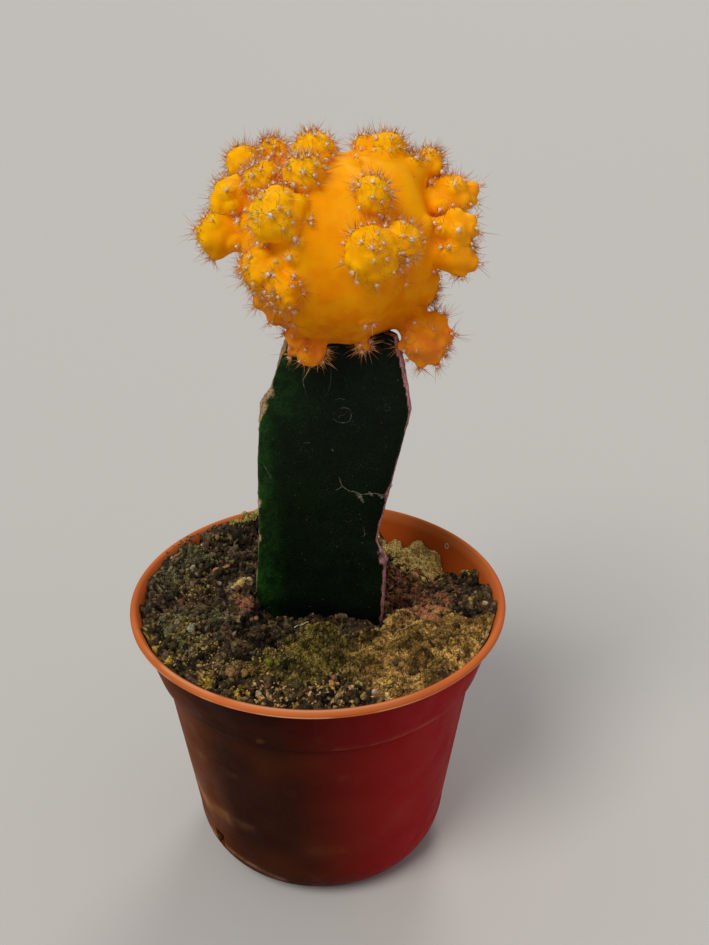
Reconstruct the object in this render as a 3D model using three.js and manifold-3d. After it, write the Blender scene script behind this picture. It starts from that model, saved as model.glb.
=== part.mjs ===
// A moon cactus in a plastic nursery pot: a yellow head grafted on a three-ribbed green rootstock.
// Millimetres, +Z up, origin at the middle of the pot's foot, front towards -Y.
import * as THREE from 'three';
import { mergeVertices } from 'three/addons/utils/BufferGeometryUtils.js';
import Module from 'manifold-3d';

const wasm = await Module();
wasm.setup();

// Pot
const potHeight = 71;
const rimRadius = 45;
const wallThickness = 1.3;
const collarTopRadius = 43.5;
const collarBottomRadius = 39.7;
const collarBottomHeight = 55.8;
const lipHeight = 2.4;
const wallTopRadius = 38;
const wallTopHeight = 54.8;
const cornerRadius = 32.1;
const cornerHeight = 12.5;
const cornerReach = 7.9;
const footRadius = 24.2;
const footWidth = 3.9;
const footHeight = 1;
const floorTop = 2.4;
const potSegments = 48;
const drainRadius = 2.6;
const drainCircle = 13.5;
const drainCount = 6;
const notchAzimuth = 219;
const notchTilt = 20;
const notchRadius = 31;
const notchHeight = 10.5;
const notchSize = new THREE.Vector3(9, 3.4, 5.6);

// Soil, with the gap that it keeps to the pot's wall and to the stem
const gap = 0.3;
const soilLevel = 66.6;
const soilBrimLimit = 69.8;
const soilRings = 8;
const soilInnerRing = 0.09;
const soilOuterRing = 0.94;
const stemHoleTop = 80;
const pebbleCount = 22;
const pebbleSpread = 2.6;

// Rootstock
const stemBase = 34;
const graftHeight = 139;
const stemCentre = new THREE.Vector2(3.4, 4.6);
const ribHalfWidth = 1.5;
const ribRounding = 1.1;
const faceHollow = 1.6;
const faceSteps = 6;

// Scion
const headCentre = new THREE.Vector3(5.2, 2, 156.5);
const headRadius = 20.5;
const headTopHeight = 17.6;
const headBottomHeight = 21;
const headPlumpness = 2.2;
const headRibs = 8;
const firstRibAzimuth = -25;
const furrowDepth = 0.055;
const spineRadius = 0.23;
const spineRoot = 1;
const shortestSpine = 3;
const longestSpine = 5.4;
const ribSpines = 4;
const stemClearance = 2;

const turn = Math.PI * 2;
const goldenAngle = Math.PI * (3 - Math.sqrt(5));
const radians = THREE.MathUtils.degToRad;
const up = new THREE.Vector3(0, 0, 1);

// Repeatable draws between 0 and 1
function seededDraws(seed) {
  let state = seed;
  return () => {
    state = (state * 1664525 + 1013904223) % 4294967296;
    return state / 4294967296;
  };
}

// A closed geometry as a solid, its shared corners merged and its collapsed triangles left out
function asSolid(geometry) {
  const bare = geometry.clone();
  bare.deleteAttribute('normal');
  bare.deleteAttribute('uv');
  const merged = mergeVertices(bare, 1e-4);
  const corners = merged.index.array;
  const kept = [];
  for (let i = 0; i < corners.length; i += 3) {
    const [a, b, c] = [corners[i], corners[i + 1], corners[i + 2]];
    if (a !== b && b !== c && c !== a) kept.push(a, b, c);
  }
  return new wasm.Manifold(new wasm.Mesh({
    numProp: 3,
    vertProperties: new Float32Array(merged.attributes.position.array),
    triVerts: new Uint32Array(kept),
  }));
}

// The whole body as a geometry, without scraps that a cut has set free
function asGeometry(solid) {
  const bodies = solid.decompose().sort((one, other) => other.volume() - one.volume());
  const mesh = bodies[0].getMesh();
  const geometry = new THREE.BufferGeometry();
  geometry.setAttribute('position', new THREE.BufferAttribute(new Float32Array(mesh.vertProperties), 3));
  geometry.setIndex(Array.from(mesh.triVerts));
  geometry.computeVertexNormals();
  return geometry;
}

// A closed skin through rings of equal count, lowest first, each anticlockwise from above
function loft(rings) {
  const count = rings[0].length;
  const centres = [rings[0], rings.at(-1)].map((ring) => {
    const middle = new THREE.Vector3();
    ring.forEach((point) => middle.add(point));
    return middle.divideScalar(count);
  });
  const points = [...rings.flat(), ...centres];
  const top = (rings.length - 1) * count;
  const lowCentre = rings.length * count;
  const index = [];
  for (let column = 0; column < count; column += 1) {
    const next = (column + 1) % count;
    for (let ring = 0; ring < rings.length - 1; ring += 1) {
      const row = ring * count;
      index.push(row + column, row + next, row + count + next);
      index.push(row + column, row + count + next, row + count + column);
    }
    index.push(lowCentre, next, column);
    index.push(lowCentre + 1, top + column, top + next);
  }
  const geometry = new THREE.BufferGeometry().setFromPoints(points);
  geometry.setIndex(index);
  return geometry;
}

function node(name, geometry, color, roughness) {
  const material = new THREE.MeshStandardMaterial({ color, roughness, metalness: 0, flatShading: true });
  const mesh = new THREE.Mesh(geometry, material);
  mesh.name = name;
  return mesh;
}

// The rounded bottom corner, from the foot outwards and up to the wall
function corner(inset, bottom, steps) {
  const points = [];
  for (let step = 0; step <= steps; step += 1) {
    const angle = (step / steps) * Math.PI / 2;
    const radius = cornerRadius - inset - cornerReach + cornerReach * Math.sin(angle);
    points.push(new THREE.Vector2(radius, cornerHeight - (cornerHeight - bottom) * Math.cos(angle)));
  }
  return points;
}

// The inside of the pot, from the floor up to the lip
function innerWall() {
  return [
    ...corner(wallThickness, floorTop, 3),
    new THREE.Vector2(wallTopRadius - wallThickness - 0.3, wallTopHeight - 1),
    new THREE.Vector2(collarBottomRadius - wallThickness, collarBottomHeight + 0.8),
    new THREE.Vector2(collarTopRadius - wallThickness + 0.2, potHeight - lipHeight),
  ];
}

function makePot() {
  const lipBottom = potHeight - lipHeight;
  const outline = [
    new THREE.Vector2(0, footHeight),
    new THREE.Vector2(footRadius - footWidth - 0.4, footHeight),
    new THREE.Vector2(footRadius - footWidth, 0),
    new THREE.Vector2(footRadius, 0),
    ...corner(0, footHeight, 4),
    new THREE.Vector2(wallTopRadius, wallTopHeight),
    new THREE.Vector2(collarBottomRadius - 0.5, collarBottomHeight - 0.4),
    new THREE.Vector2(collarBottomRadius, collarBottomHeight + 0.3),
    new THREE.Vector2(collarTopRadius, lipBottom),
    new THREE.Vector2(rimRadius - 0.2, lipBottom + 0.2),
    new THREE.Vector2(rimRadius, lipBottom + 1.3),
    new THREE.Vector2(rimRadius - 0.5, potHeight - 0.4),
    new THREE.Vector2(rimRadius - 1.3, potHeight),
    new THREE.Vector2(rimRadius - 2.2, potHeight - 0.4),
    ...innerWall().reverse(),
    new THREE.Vector2(0, floorTop),
  ];
  const shell = new THREE.LatheGeometry(outline, potSegments).rotateX(Math.PI / 2);
  const drainLength = 10;
  let pot = asSolid(shell);
  for (let hole = 0; hole < drainCount; hole += 1) {
    const angle = (hole / drainCount) * turn;
    const drill = new THREE.CylinderGeometry(drainRadius, drainRadius, drainLength, 10).rotateX(Math.PI / 2);
    drill.translate(drainCircle * Math.cos(angle), drainCircle * Math.sin(angle), 0);
    pot = pot.subtract(asSolid(drill));
  }
  const notch = new THREE.BoxGeometry(...notchSize).rotateY(radians(notchTilt));
  notch.translate(notchRadius, 0, notchHeight).rotateZ(radians(notchAzimuth));
  return asGeometry(pot.subtract(asSolid(notch)));
}

// Radius of the pot's inside at a height
function innerRadius(height) {
  const wall = innerWall();
  const above = Math.max(1, wall.findIndex((point) => point.y >= height));
  const [low, high] = [wall[above - 1], wall[above]];
  return low.x + (high.x - low.x) * (height - low.y) / (high.y - low.y);
}

// Smooth hill of a height and a width, at a place
function hill(x, y, centreX, centreY, height, width) {
  return height * Math.exp(-((x - centreX) ** 2 + (y - centreY) ** 2) / (width * width));
}

// Height of the soil: banked against the rim at the left and the front, sunk at the right
function soilHeight(x, y) {
  const outward = Math.hypot(x, y) / 41;
  const bank = 2.6 * outward ** 3;
  const slopes = hill(x, y, -26, 12, 2.6, 15) + hill(x, y, -22, 33, 2.2, 11) + hill(x, y, 26, -22, 1.3, 10)
    + hill(x, y, 33, 20, -5.5, 9) + hill(x, y, 22, 36, -6, 13) + hill(x, y, 3, -14, -1.2, 9)
    + hill(x, y, 24, 27, 2.4, 6) + hill(x, y, -22, 26, -2.6, 4) + hill(x, y, -17, 4, 1.6, 4);
  const lumps = 0.75 * Math.sin(0.52 * x + 0.9) * Math.cos(0.61 * y - 0.4)
    + 0.5 * Math.sin(0.83 * x - 0.5 * y + 2);
  return soilLevel + bank + slopes + lumps;
}

function makeSoil() {
  const brimHeights = [];
  const angles = [];
  for (let segment = 0; segment < potSegments; segment += 1) {
    const angle = (segment / potSegments) * turn;
    const reach = innerRadius(soilLevel) - gap;
    angles.push(angle);
    const height = soilHeight(reach * Math.cos(angle), reach * Math.sin(angle));
    brimHeights.push(Math.min(height, soilBrimLimit));
  }
  const ringAt = (radiusAt, heightAt) => angles.map((angle, segment) => {
    const radius = radiusAt(segment);
    const [x, y] = [radius * Math.cos(angle), radius * Math.sin(angle)];
    return new THREE.Vector3(x, y, heightAt(segment, x, y));
  });
  const brimRadius = (segment) => innerRadius(Math.min(brimHeights[segment], potHeight - lipHeight)) - gap;
  const wall = innerWall().slice(0, -1);
  const rings = wall.map((point) => ringAt(() => point.x - gap, () => point.y));
  rings.push(ringAt(brimRadius, (segment) => brimHeights[segment]));
  for (let ring = soilRings; ring >= 0; ring -= 1) {
    const share = THREE.MathUtils.lerp(soilInnerRing, soilOuterRing, ring / soilRings);
    rings.push(ringAt((segment) => share * brimRadius(segment), (segment, x, y) => soilHeight(x, y)));
  }
  let soil = asSolid(loft(rings));
  const draw = seededDraws(7);
  for (let pebble = 0; pebble < pebbleCount; pebble += 1) {
    const angle = -Math.PI / 2 + (draw() - 0.5) * pebbleSpread;
    const distance = 24 + 15 * Math.sqrt(draw());
    const size = 0.8 + 0.8 * draw();
    const stone = new THREE.IcosahedronGeometry(size, 0).rotateX(draw() * turn).rotateY(draw() * turn);
    const [x, y] = [distance * Math.cos(angle), distance * Math.sin(angle)];
    stone.translate(x, y, soilHeight(x, y) - 0.1 * size);
    soil = soil.add(asSolid(stone));
  }
  return asGeometry(soil.subtract(asSolid(loft(stemRings(gap, stemBase, stemHoleTop)))));
}

// Value at a height on a line through [height, value] points
function along(line, height) {
  const above = line.findIndex((point) => point[0] >= height);
  if (above <= 0) return line.at(above)[1];
  const [low, high] = [line[above - 1], line[above]];
  return low[1] + (high[1] - low[1]) * (height - low[0]) / (high[0] - low[0]);
}

// How far each rib's edge stands from the stem's middle: [height, reach] from the buried base to the graft
const leftRib = [[34, 16], [70, 19], [84, 17.9], [106, 17.3], [120, 16.1], [123.5, 13.7], [134, 10.4],
  [139, 7.6]];
const rightRib = [[34, 13], [66, 15.6], [76, 16.4], [84, 16.4], [88, 13.9], [91, 14.3], [106, 18.3],
  [120, 21.9], [123.5, 22.6], [134, 20.4], [139, 18.6]];
const backRib = [[34, 15], [70, 18.2], [91, 18], [106, 18.6], [120, 19], [123.5, 18.4], [139, 11]];
const ribDirections = [[leftRib, 188], [rightRib, 320], [backRib, 75]];

// The stem's outline at a height, anticlockwise: three rib edges with a hollowed face after each
function stemSection(height) {
  const ribs = ribDirections.map(([line, azimuth]) => {
    const direction = new THREE.Vector2(Math.cos(radians(azimuth)), Math.sin(radians(azimuth)));
    const across = new THREE.Vector2(-direction.y, direction.x);
    const tip = direction.clone().multiplyScalar(along(line, height)).add(stemCentre);
    return { tip, direction, across };
  });
  const points = [];
  ribs.forEach((rib, number) => {
    const next = ribs[(number + 1) % ribs.length];
    const start = rib.tip.clone().addScaledVector(rib.direction, -ribRounding);
    const end = next.tip.clone().addScaledVector(next.direction, -ribRounding);
    start.addScaledVector(rib.across, ribHalfWidth);
    end.addScaledVector(next.across, -ribHalfWidth);
    const inward = stemCentre.clone().sub(start.clone().add(end).multiplyScalar(0.5)).normalize();
    points.push(rib.tip);
    for (let step = 0; step <= faceSteps; step += 1) {
      const share = step / faceSteps;
      const point = start.clone().lerp(end, share);
      points.push(point.addScaledVector(inward, faceHollow * 4 * share * (1 - share)));
    }
  });
  return points;
}

// An outline moved outwards by a distance, corner by corner
function grown(outline, distance) {
  return outline.map((point, place) => {
    const before = outline.at(place - 1);
    const after = outline[(place + 1) % outline.length];
    const first = new THREE.Vector2(point.y - before.y, before.x - point.x).normalize();
    const second = new THREE.Vector2(after.y - point.y, point.x - after.x).normalize();
    const reach = distance / (1 + first.dot(second));
    return point.clone().addScaledVector(first, reach).addScaledVector(second, reach);
  });
}

function stemRings(clearance, bottom, top) {
  const heights = [bottom];
  ribDirections.forEach(([line]) => heights.push(...line.map((point) => point[0])));
  heights.push(top);
  const levels = [...new Set(heights)].filter((height) => height >= bottom && height <= top);
  levels.sort((one, other) => one - other);
  return levels.map((height) => {
    const outline = grown(stemSection(height), clearance);
    return outline.map((point) => new THREE.Vector3(point.x, point.y, height));
  });
}

function makeRootstock() {
  return asGeometry(asSolid(loft(stemRings(0, stemBase, graftHeight))));
}

// A point lies near the stem when its place is inside the grown outline at its height
function nearStem(point) {
  if (point.z > graftHeight + stemClearance) return false;
  const outline = grown(stemSection(Math.min(point.z, graftHeight)), stemClearance);
  let inside = false;
  outline.forEach((end, place) => {
    const start = outline.at(place - 1);
    const crosses = (end.y > point.y) !== (start.y > point.y);
    const slope = (start.x - end.x) / (start.y - end.y);
    if (crosses && point.x < end.x + (point.y - end.y) * slope) inside = !inside;
  });
  return inside;
}

// Direction from an azimuth, counted from the front towards +X, and an elevation
function directionOf(azimuth, elevation) {
  const level = Math.cos(radians(elevation));
  return new THREE.Vector3(
    level * Math.sin(radians(azimuth)), -level * Math.cos(radians(azimuth)), Math.sin(radians(elevation)));
}

// Distance from the head's middle to its skin: a plump round with broad soft ribs, a little deeper than high
function headReach(direction) {
  const level = Math.hypot(direction.x, direction.y);
  const height = direction.z > 0 ? headTopHeight : headBottomHeight;
  const plump = (level / headRadius) ** headPlumpness + (Math.abs(direction.z) / height) ** headPlumpness;
  const azimuth = Math.atan2(direction.x, -direction.y) - radians(firstRibAzimuth);
  const furrow = furrowDepth * level * (1 - Math.cos(headRibs * azimuth)) / 2;
  return plump ** (-1 / headPlumpness) * (1 - furrow);
}

// Offsets seen from the front: azimuth, elevation, radius and how far the middle stands off the head's skin
const crown = [[-104, 37, 3.8, 5.2], [-112, 51, 2.9, 3.4], [-70, 75, 4.6, 0.9], [122, 70, 2.2, 1.4],
  [107, 58, 4.3, 1.5], [105, 37, 2.9, 4.8], [98, 43, 3.4, 0.8]];
const leftSide = [[-79, 7, 5, 4], [-80, 25, 3.8, 3.9], [-44, -5, 4.5, 1.5], [-30, -13, 3.6, 1.1]];
const leftFace = [[-34, 26, 5.9, 1.5], [-30, 52, 3.9, 1.3], [-67, 42, 3.7, 1.8]];
const rightFace = [[25, 39, 3.6, 1.3], [18, 9, 5.5, 1.3], [37, 12, 3.9, 1.4]];
const rightSide = [[98, 20, 4.9, 4.7], [76, 9, 3.6, 5.2], [75, -3, 4, 4.8], [74, -26, 5, -1.6]];
const underside = [[63, -41, 6, 5.9], [28, -59, 1.3, 0.9], [-35, -59, 3.2, 2.1]];
const frontOffsets = [...crown, ...leftSide, ...leftFace, ...rightFace, ...rightSide, ...underside];

// Offsets behind: the same clusters on the four hidden ribs, small near the crown and thinner towards the bottom
function backOffsets() {
  const draw = seededDraws(23);
  const offsets = [];
  for (let rib = 0; rib < 4; rib += 1) {
    const azimuth = 110 + 45 * rib;
    for (const elevation of [44, 25, 3, -22]) {
      const skipped = elevation === -22 && rib % 2 === 0;
      const radius = (3.2 + 1.6 * draw()) * (elevation === 44 ? 0.65 : 1);
      const place = [azimuth + 10 * (draw() - 0.5), elevation + 8 * (draw() - 0.5)];
      if (!skipped) offsets.push([...place, radius, 0.5 * radius]);
    }
  }
  return offsets;
}

// One offset in its own axes: a small ribbed, warty round with a neck that goes down into the head
function offsetGeometry(radius, standOff) {
  const ribs = radius > 3.2 ? 5 : 4;
  const rows = 6;
  const geometry = new THREE.SphereGeometry(1, ribs * 2, rows).rotateX(Math.PI / 2);
  const neck = Math.max(1, (standOff + 2) / radius);
  const places = geometry.attributes.position;
  const point = new THREE.Vector3();
  for (let i = 0; i < places.count; i += 1) {
    point.fromBufferAttribute(places, i).normalize();
    const azimuth = Math.atan2(point.y, point.x);
    const polar = Math.acos(THREE.MathUtils.clamp(point.z, -1, 1));
    const crest = (1 + Math.cos(ribs * azimuth)) / 2;
    const wart = (1 + Math.cos(rows * polar)) / 2;
    const relief = Math.sin(polar) * (0.1 * crest + 0.12 * crest * wart - 0.09);
    point.multiplyScalar(radius * (1 + relief));
    point.z *= point.z < 0 ? neck : 1.04;
    places.setXYZ(i, point.x, point.y, point.z);
  }
  return geometry;
}

// A three-sided needle from its root along a direction
function needle(foot, direction, length, radius) {
  const cone = new THREE.ConeGeometry(radius, length + spineRoot, 3).rotateX(Math.PI / 2);
  cone.translate(0, 0, (length - spineRoot) / 2);
  cone.applyQuaternion(new THREE.Quaternion().setFromUnitVectors(up, direction));
  return cone.translate(foot.x, foot.y, foot.z);
}

// Every offset's place, turned so that its crown looks outwards and a little up
function placedOffsets() {
  return [...frontOffsets, ...backOffsets()].map(([azimuth, elevation, radius, standOff]) => {
    const direction = directionOf(azimuth, elevation);
    const centre = direction.clone().multiplyScalar(headReach(direction) + standOff).add(headCentre);
    const lift = elevation > -15 ? 0.35 : 0;
    const axis = direction.clone().addScaledVector(up, lift).normalize();
    return { centre, axis, radius, standOff };
  });
}

// A place is hidden when it lies inside the head or another offset
function hidden(point, offsets, own) {
  const fromHead = point.clone().sub(headCentre);
  const inHead = fromHead.length() < headReach(fromHead.clone().normalize()) + 0.4;
  return inHead || offsets.some((other) => other !== own && point.distanceTo(other.centre) < other.radius);
}

// The head without its offsets
function headSolid() {
  const skin = new THREE.SphereGeometry(1, headRibs * 4, 14).rotateX(Math.PI / 2);
  const places = skin.attributes.position;
  const point = new THREE.Vector3();
  for (let i = 0; i < places.count; i += 1) {
    point.fromBufferAttribute(places, i).normalize();
    point.multiplyScalar(headReach(point)).add(headCentre);
    places.setXYZ(i, point.x, point.y, point.z);
  }
  return asSolid(skin);
}

// Needles spread evenly over an offset's crown and sides, each leaning its own way
function offsetNeedles(offset, offsets, draw) {
  const spines = Math.round(2 + 1.15 * offset.radius);
  const widest = radians(112);
  const pole = new THREE.Vector3(0, 1, 0);
  const turned = new THREE.Quaternion().setFromUnitVectors(pole, offset.axis);
  const phase = turn * draw();
  const needles = [];
  for (let spine = 0; spine < spines; spine += 1) {
    const polar = widest * Math.sqrt((spine + 0.5) / spines);
    const outward = new THREE.Vector3().setFromSphericalCoords(1, polar, phase + spine * goldenAngle);
    outward.applyQuaternion(turned);
    const foot = outward.clone().multiplyScalar(0.97 * offset.radius).add(offset.centre);
    const lean = new THREE.Vector3(draw() - 0.5, draw() - 0.5, draw() - 0.5).multiplyScalar(1.1);
    const direction = outward.clone().add(lean).normalize();
    const drawn = THREE.MathUtils.lerp(shortestSpine, longestSpine, draw());
    const length = Math.min(drawn, 1.8 * offset.radius);
    const tip = foot.clone().addScaledVector(direction, length);
    const blocked = hidden(foot, offsets, offset) || nearStem(foot) || nearStem(tip);
    if (!blocked) needles.push(needle(foot, direction, length, spineRadius));
  }
  return needles;
}

// Needles that splay from the cushions on the head's own ribs, where no offset covers them
function ribNeedles(offsets, draw) {
  const needles = [];
  for (let rib = 0; rib < headRibs; rib += 1) {
    for (const elevation of [16, -10, -34]) {
      const outward = directionOf(firstRibAzimuth + (360 / headRibs) * rib, elevation);
      const foot = outward.clone().multiplyScalar(headReach(outward)).add(headCentre);
      if (hidden(foot.clone().addScaledVector(outward, 0.6), offsets, null)) continue;
      const aside = new THREE.Vector3().crossVectors(up, outward).normalize();
      const above = new THREE.Vector3().crossVectors(outward, aside);
      for (let spine = 0; spine < ribSpines; spine += 1) {
        const angle = ((spine + 0.5 + 0.4 * draw()) / ribSpines) * turn;
        const length = THREE.MathUtils.lerp(shortestSpine, longestSpine, draw());
        const direction = outward.clone().multiplyScalar(0.75);
        direction.addScaledVector(aside, Math.cos(angle)).addScaledVector(above, Math.sin(angle)).normalize();
        const tip = foot.clone().addScaledVector(direction, length);
        if (!nearStem(tip)) needles.push(needle(foot, direction, length, spineRadius));
      }
    }
  }
  return needles;
}

// The whole head as one grown body, which sits on the stem's top and bulges over its edges
function makeScion() {
  const draw = seededDraws(41);
  const offsets = placedOffsets();
  let scion = headSolid();
  for (const offset of offsets) {
    const turned = new THREE.Quaternion().setFromUnitVectors(up, offset.axis);
    const ball = offsetGeometry(offset.radius, offset.standOff).applyQuaternion(turned);
    scion = scion.add(asSolid(ball.translate(offset.centre.x, offset.centre.y, offset.centre.z)));
  }
  const needles = offsets.flatMap((offset) => offsetNeedles(offset, offsets, draw));
  for (const spine of [...needles, ...ribNeedles(offsets, draw)]) scion = scion.add(asSolid(spine));
  return asGeometry(scion.subtract(asSolid(loft(stemRings(gap, stemBase, graftHeight)))));
}

const group = new THREE.Group();
group.add(node('pot', makePot(), 0xa83f22, 0.5));
group.add(node('soil', makeSoil(), 0x3a2c1c, 0.95));
group.add(node('rootstock', makeRootstock(), 0x1d3a1c, 0.45));
group.add(node('scion', makeScion(), 0xf29a10, 0.5));

export default group;
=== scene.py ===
# Potted moon cactus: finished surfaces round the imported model, worked out in millimetres
import bpy
import numpy as np
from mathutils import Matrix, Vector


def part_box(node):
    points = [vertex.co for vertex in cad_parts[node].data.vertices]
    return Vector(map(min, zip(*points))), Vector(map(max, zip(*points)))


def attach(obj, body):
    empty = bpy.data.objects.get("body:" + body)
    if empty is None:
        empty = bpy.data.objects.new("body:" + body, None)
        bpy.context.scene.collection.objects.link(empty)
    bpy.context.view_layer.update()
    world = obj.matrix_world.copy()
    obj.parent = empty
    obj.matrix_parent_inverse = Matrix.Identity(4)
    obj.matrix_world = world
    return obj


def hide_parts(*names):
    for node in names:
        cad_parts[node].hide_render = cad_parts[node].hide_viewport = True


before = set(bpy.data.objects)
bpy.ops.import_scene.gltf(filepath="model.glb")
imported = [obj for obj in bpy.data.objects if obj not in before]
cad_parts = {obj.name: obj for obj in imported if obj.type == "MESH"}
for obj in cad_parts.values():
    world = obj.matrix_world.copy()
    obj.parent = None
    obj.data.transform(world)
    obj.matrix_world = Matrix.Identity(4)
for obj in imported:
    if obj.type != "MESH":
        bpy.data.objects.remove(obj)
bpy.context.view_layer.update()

perMetre = 1000
turn = 2 * np.pi
goldenAngle = np.pi * (3 - np.sqrt(5))


# A node's lowest and highest corners in millimetres
def boxOf(node):
    return [np.array(corner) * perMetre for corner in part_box(node)]


potHigh = boxOf("pot")[1]
soilLow = boxOf("soil")[0]
stemLow, stemHigh = boxOf("rootstock")
rimRadius = potHigh[0]
potHeight = potHigh[2]
stemBase = stemLow[2]
graftHeight = stemHigh[2]


hashing = {
    "seedStep": 7919,
    "seedStart": 17,
    "primes": (73856093, 19349663, 83492791),  # one for each axis
    "mixers": (2246822519, 3266489917),
    "shifts": (15, 13, 16),
}


# Draw from 0 to 1 for each whole-numbered cell: its numbers times large primes, mixed by shifts
def cellDraw(cells, seed):
    mixers = [np.uint32(mixer) for mixer in hashing["mixers"]]
    shifts = [np.uint32(shift) for shift in hashing["shifts"]]
    mixed = np.full(cells.shape[:-1], seed * hashing["seedStep"] + hashing["seedStart"], np.uint32)
    for axis, prime in enumerate(hashing["primes"][:cells.shape[-1]]):
        mixed ^= cells[..., axis].astype(np.int64).astype(np.uint32) * np.uint32(prime)
        mixed ^= mixed >> shifts[0]
        mixed *= mixers[0]
        mixed ^= mixed >> shifts[1]
    mixed *= mixers[1]
    mixed ^= mixed >> shifts[2]
    return mixed / float(2 ** 32 - 1)


# Smooth noise from 0 to 1: the draws at a cell's corners, blended along each axis by 3t² - 2t³
def smoothNoise(points, size, seed):
    scaled = points / size
    cell = np.floor(scaled)
    share = scaled - cell
    share = share * share * (3 - 2 * share)
    total = 0
    for corner in np.ndindex(*(2,) * points.shape[-1]):
        step = np.array(corner)
        total = total + np.prod(np.where(step == 1, share, 1 - share), axis=-1) * cellDraw(cell + step, seed)
    return total


# Noise from 0 to 1 in layers, each half as wide and half as strong as the one before
def layeredNoise(points, size, seed, layers=3):
    total = sum(smoothNoise(points, size / 2 ** n, seed + n) / 2 ** n for n in range(layers))
    return total / (2 - 2 ** (1 - layers))


# Share from 0 to 1 as a value goes from low to high, eased by 3t² - 2t³
def ease(value, low, high):
    share = np.clip((value - low) / (high - low), 0, 1)
    return share * share * (3 - 2 * share)


# Share that rises over one range of a value and falls over another
def riseAndFall(value, rise, fall):
    return ease(value, *rise) * (1 - ease(value, *fall))


# A bell-shaped share: exp(-(d / width)²)
def bell(distance, width):
    return np.exp(-(distance / width) ** 2)


# The same round a place on the soil
def bellRound(x, y, centreX, centreY, width):
    return np.exp(-((x - centreX) ** 2 + (y - centreY) ** 2) / width ** 2)


# Colours between two, by a share for each point
def blendColors(first, second, share):
    return np.asarray(first) * (1 - share[..., None]) + np.asarray(second) * share[..., None]


# Lengths of vectors
def lengthOf(vectors):
    return np.linalg.norm(vectors, axis=-1)


# Unit vectors
def unit(vectors):
    return vectors / np.maximum(np.linalg.norm(vectors, axis=-1, keepdims=True), 1e-9)


# Two directions square to each of the given ones, and to each other
def squareTo(directions):
    helper = np.where(np.abs(directions[..., 2:]) < 0.9, (0.0, 0.0, 1.0), (1.0, 0.0, 0.0))
    first = unit(np.cross(helper, directions))
    return first, np.cross(directions, first)


# Directions (sin t·cos a, sin t·sin a, cos t) at angles t from +Z and a round it
def fromPole(t, a):
    return np.stack([np.sin(t) * np.cos(a), np.sin(t) * np.sin(a), np.cos(t)], -1)


# Directions round an axis at some angles: aside·cos a + across·sin a
def roundAxis(angle, aside, across):
    return np.cos(angle)[..., None] * aside[..., None, :] + np.sin(angle)[..., None] * across[..., None, :]


# A blade is a pyramid: three corners round its foot, and its tip as the fourth point
bladeAngles = np.arange(3) / 3 * turn
bladeTriangles = np.array([(0, 1, 3), (1, 2, 3), (2, 0, 3), (2, 1, 0)])


# Triangles of a grid closed round its columns, facing out where the rows run upwards
def gridTriangles(rows, columns):
    row, column = np.meshgrid(np.arange(rows - 1), np.arange(columns), indexing="ij")
    here, after = row * columns + column, row * columns + (column + 1) % columns
    lower = np.stack([here, after, after + columns], -1).reshape(-1, 3)
    upper = np.stack([here, after + columns, here + columns], -1).reshape(-1, 3)
    return np.concatenate([lower, upper])


# A closed skin over rings of points (rows, columns, 3), with poles in the middle of its first and last rings
def closedGrid(rings):
    rows, columns = rings.shape[:2]
    poles = np.stack([rings[0].mean(0), rings[-1].mean(0)])
    points = np.concatenate([rings.reshape(-1, 3), poles])
    column = np.arange(columns)
    after = (column + 1) % columns
    last = (rows - 1) * columns
    first = np.stack([np.full(columns, rows * columns), after, column], -1)
    final = np.stack([np.full(columns, rows * columns + 1), last + column, last + after], -1)
    return points, np.concatenate([gridTriangles(rows, columns), first, final])


# Many copies of one small shape as one mesh, its triangles numbered on from copy to copy
def copiesOf(points, triangles):
    count, size = points.shape[:2]
    numbered = triangles[None] + (np.arange(count) * size)[:, None, None]
    return points.reshape(-1, 3), numbered.reshape(-1, 3)


# Several closed skins as one mesh's points and triangles
def joined(parts):
    starts = np.cumsum([0] + [len(points) for points, _ in parts[:-1]])
    triangles = np.concatenate([faces + start for (_, faces), start in zip(parts, starts)])
    return np.concatenate([points for points, _ in parts]), triangles


# A mesh object from points in millimetres and triangles, smooth all over
def meshObject(name, points, triangles):
    mesh = bpy.data.meshes.new(name)
    mesh.vertices.add(len(points))
    mesh.vertices.foreach_set("co", (points / perMetre).astype(np.float32).ravel())
    mesh.loops.add(triangles.size)
    mesh.loops.foreach_set("vertex_index", triangles.astype(np.int32).ravel())
    mesh.polygons.add(len(triangles))
    mesh.polygons.foreach_set("loop_start", np.arange(0, triangles.size, 3, dtype=np.int32))
    mesh.update(calc_edges=True)
    mesh.shade_smooth()
    piece = bpy.data.objects.new(name, mesh)
    bpy.context.scene.collection.objects.link(piece)
    return piece


# A piece's vertices in millimetres
def pointsOf(piece):
    flat = np.zeros(len(piece.data.vertices) * 3, np.float32)
    piece.data.vertices.foreach_get("co", flat)
    return flat.reshape(-1, 3).astype(float) * perMetre


# Colours for each vertex, as the attribute that the materials read
def tint(piece, colors):
    attribute = piece.data.color_attributes.new("tint", "FLOAT_COLOR", "POINT")
    full = np.concatenate([np.clip(colors, 0, 1), np.ones((len(colors), 1))], 1)
    attribute.data.foreach_set("color", full.astype(np.float32).ravel())


# A modifier worked into the mesh
def applyModifier(piece, kind, **settings):
    modifier = piece.modifiers.new(kind, kind)
    for key, value in settings.items():
        setattr(modifier, key, value)
    evaluated = piece.evaluated_get(bpy.context.evaluated_depsgraph_get())
    made = bpy.data.meshes.new_from_object(evaluated)
    piece.modifiers.clear()
    piece.data = made


# A closed skin cut out of a piece
def cutOut(piece, skin):
    cutter = meshObject("cutter", *skin)
    applyModifier(piece, "BOOLEAN", operation="DIFFERENCE", solver="MANIFOLD", object=cutter)
    bpy.data.objects.remove(cutter)
    piece.data.shade_smooth()


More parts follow.
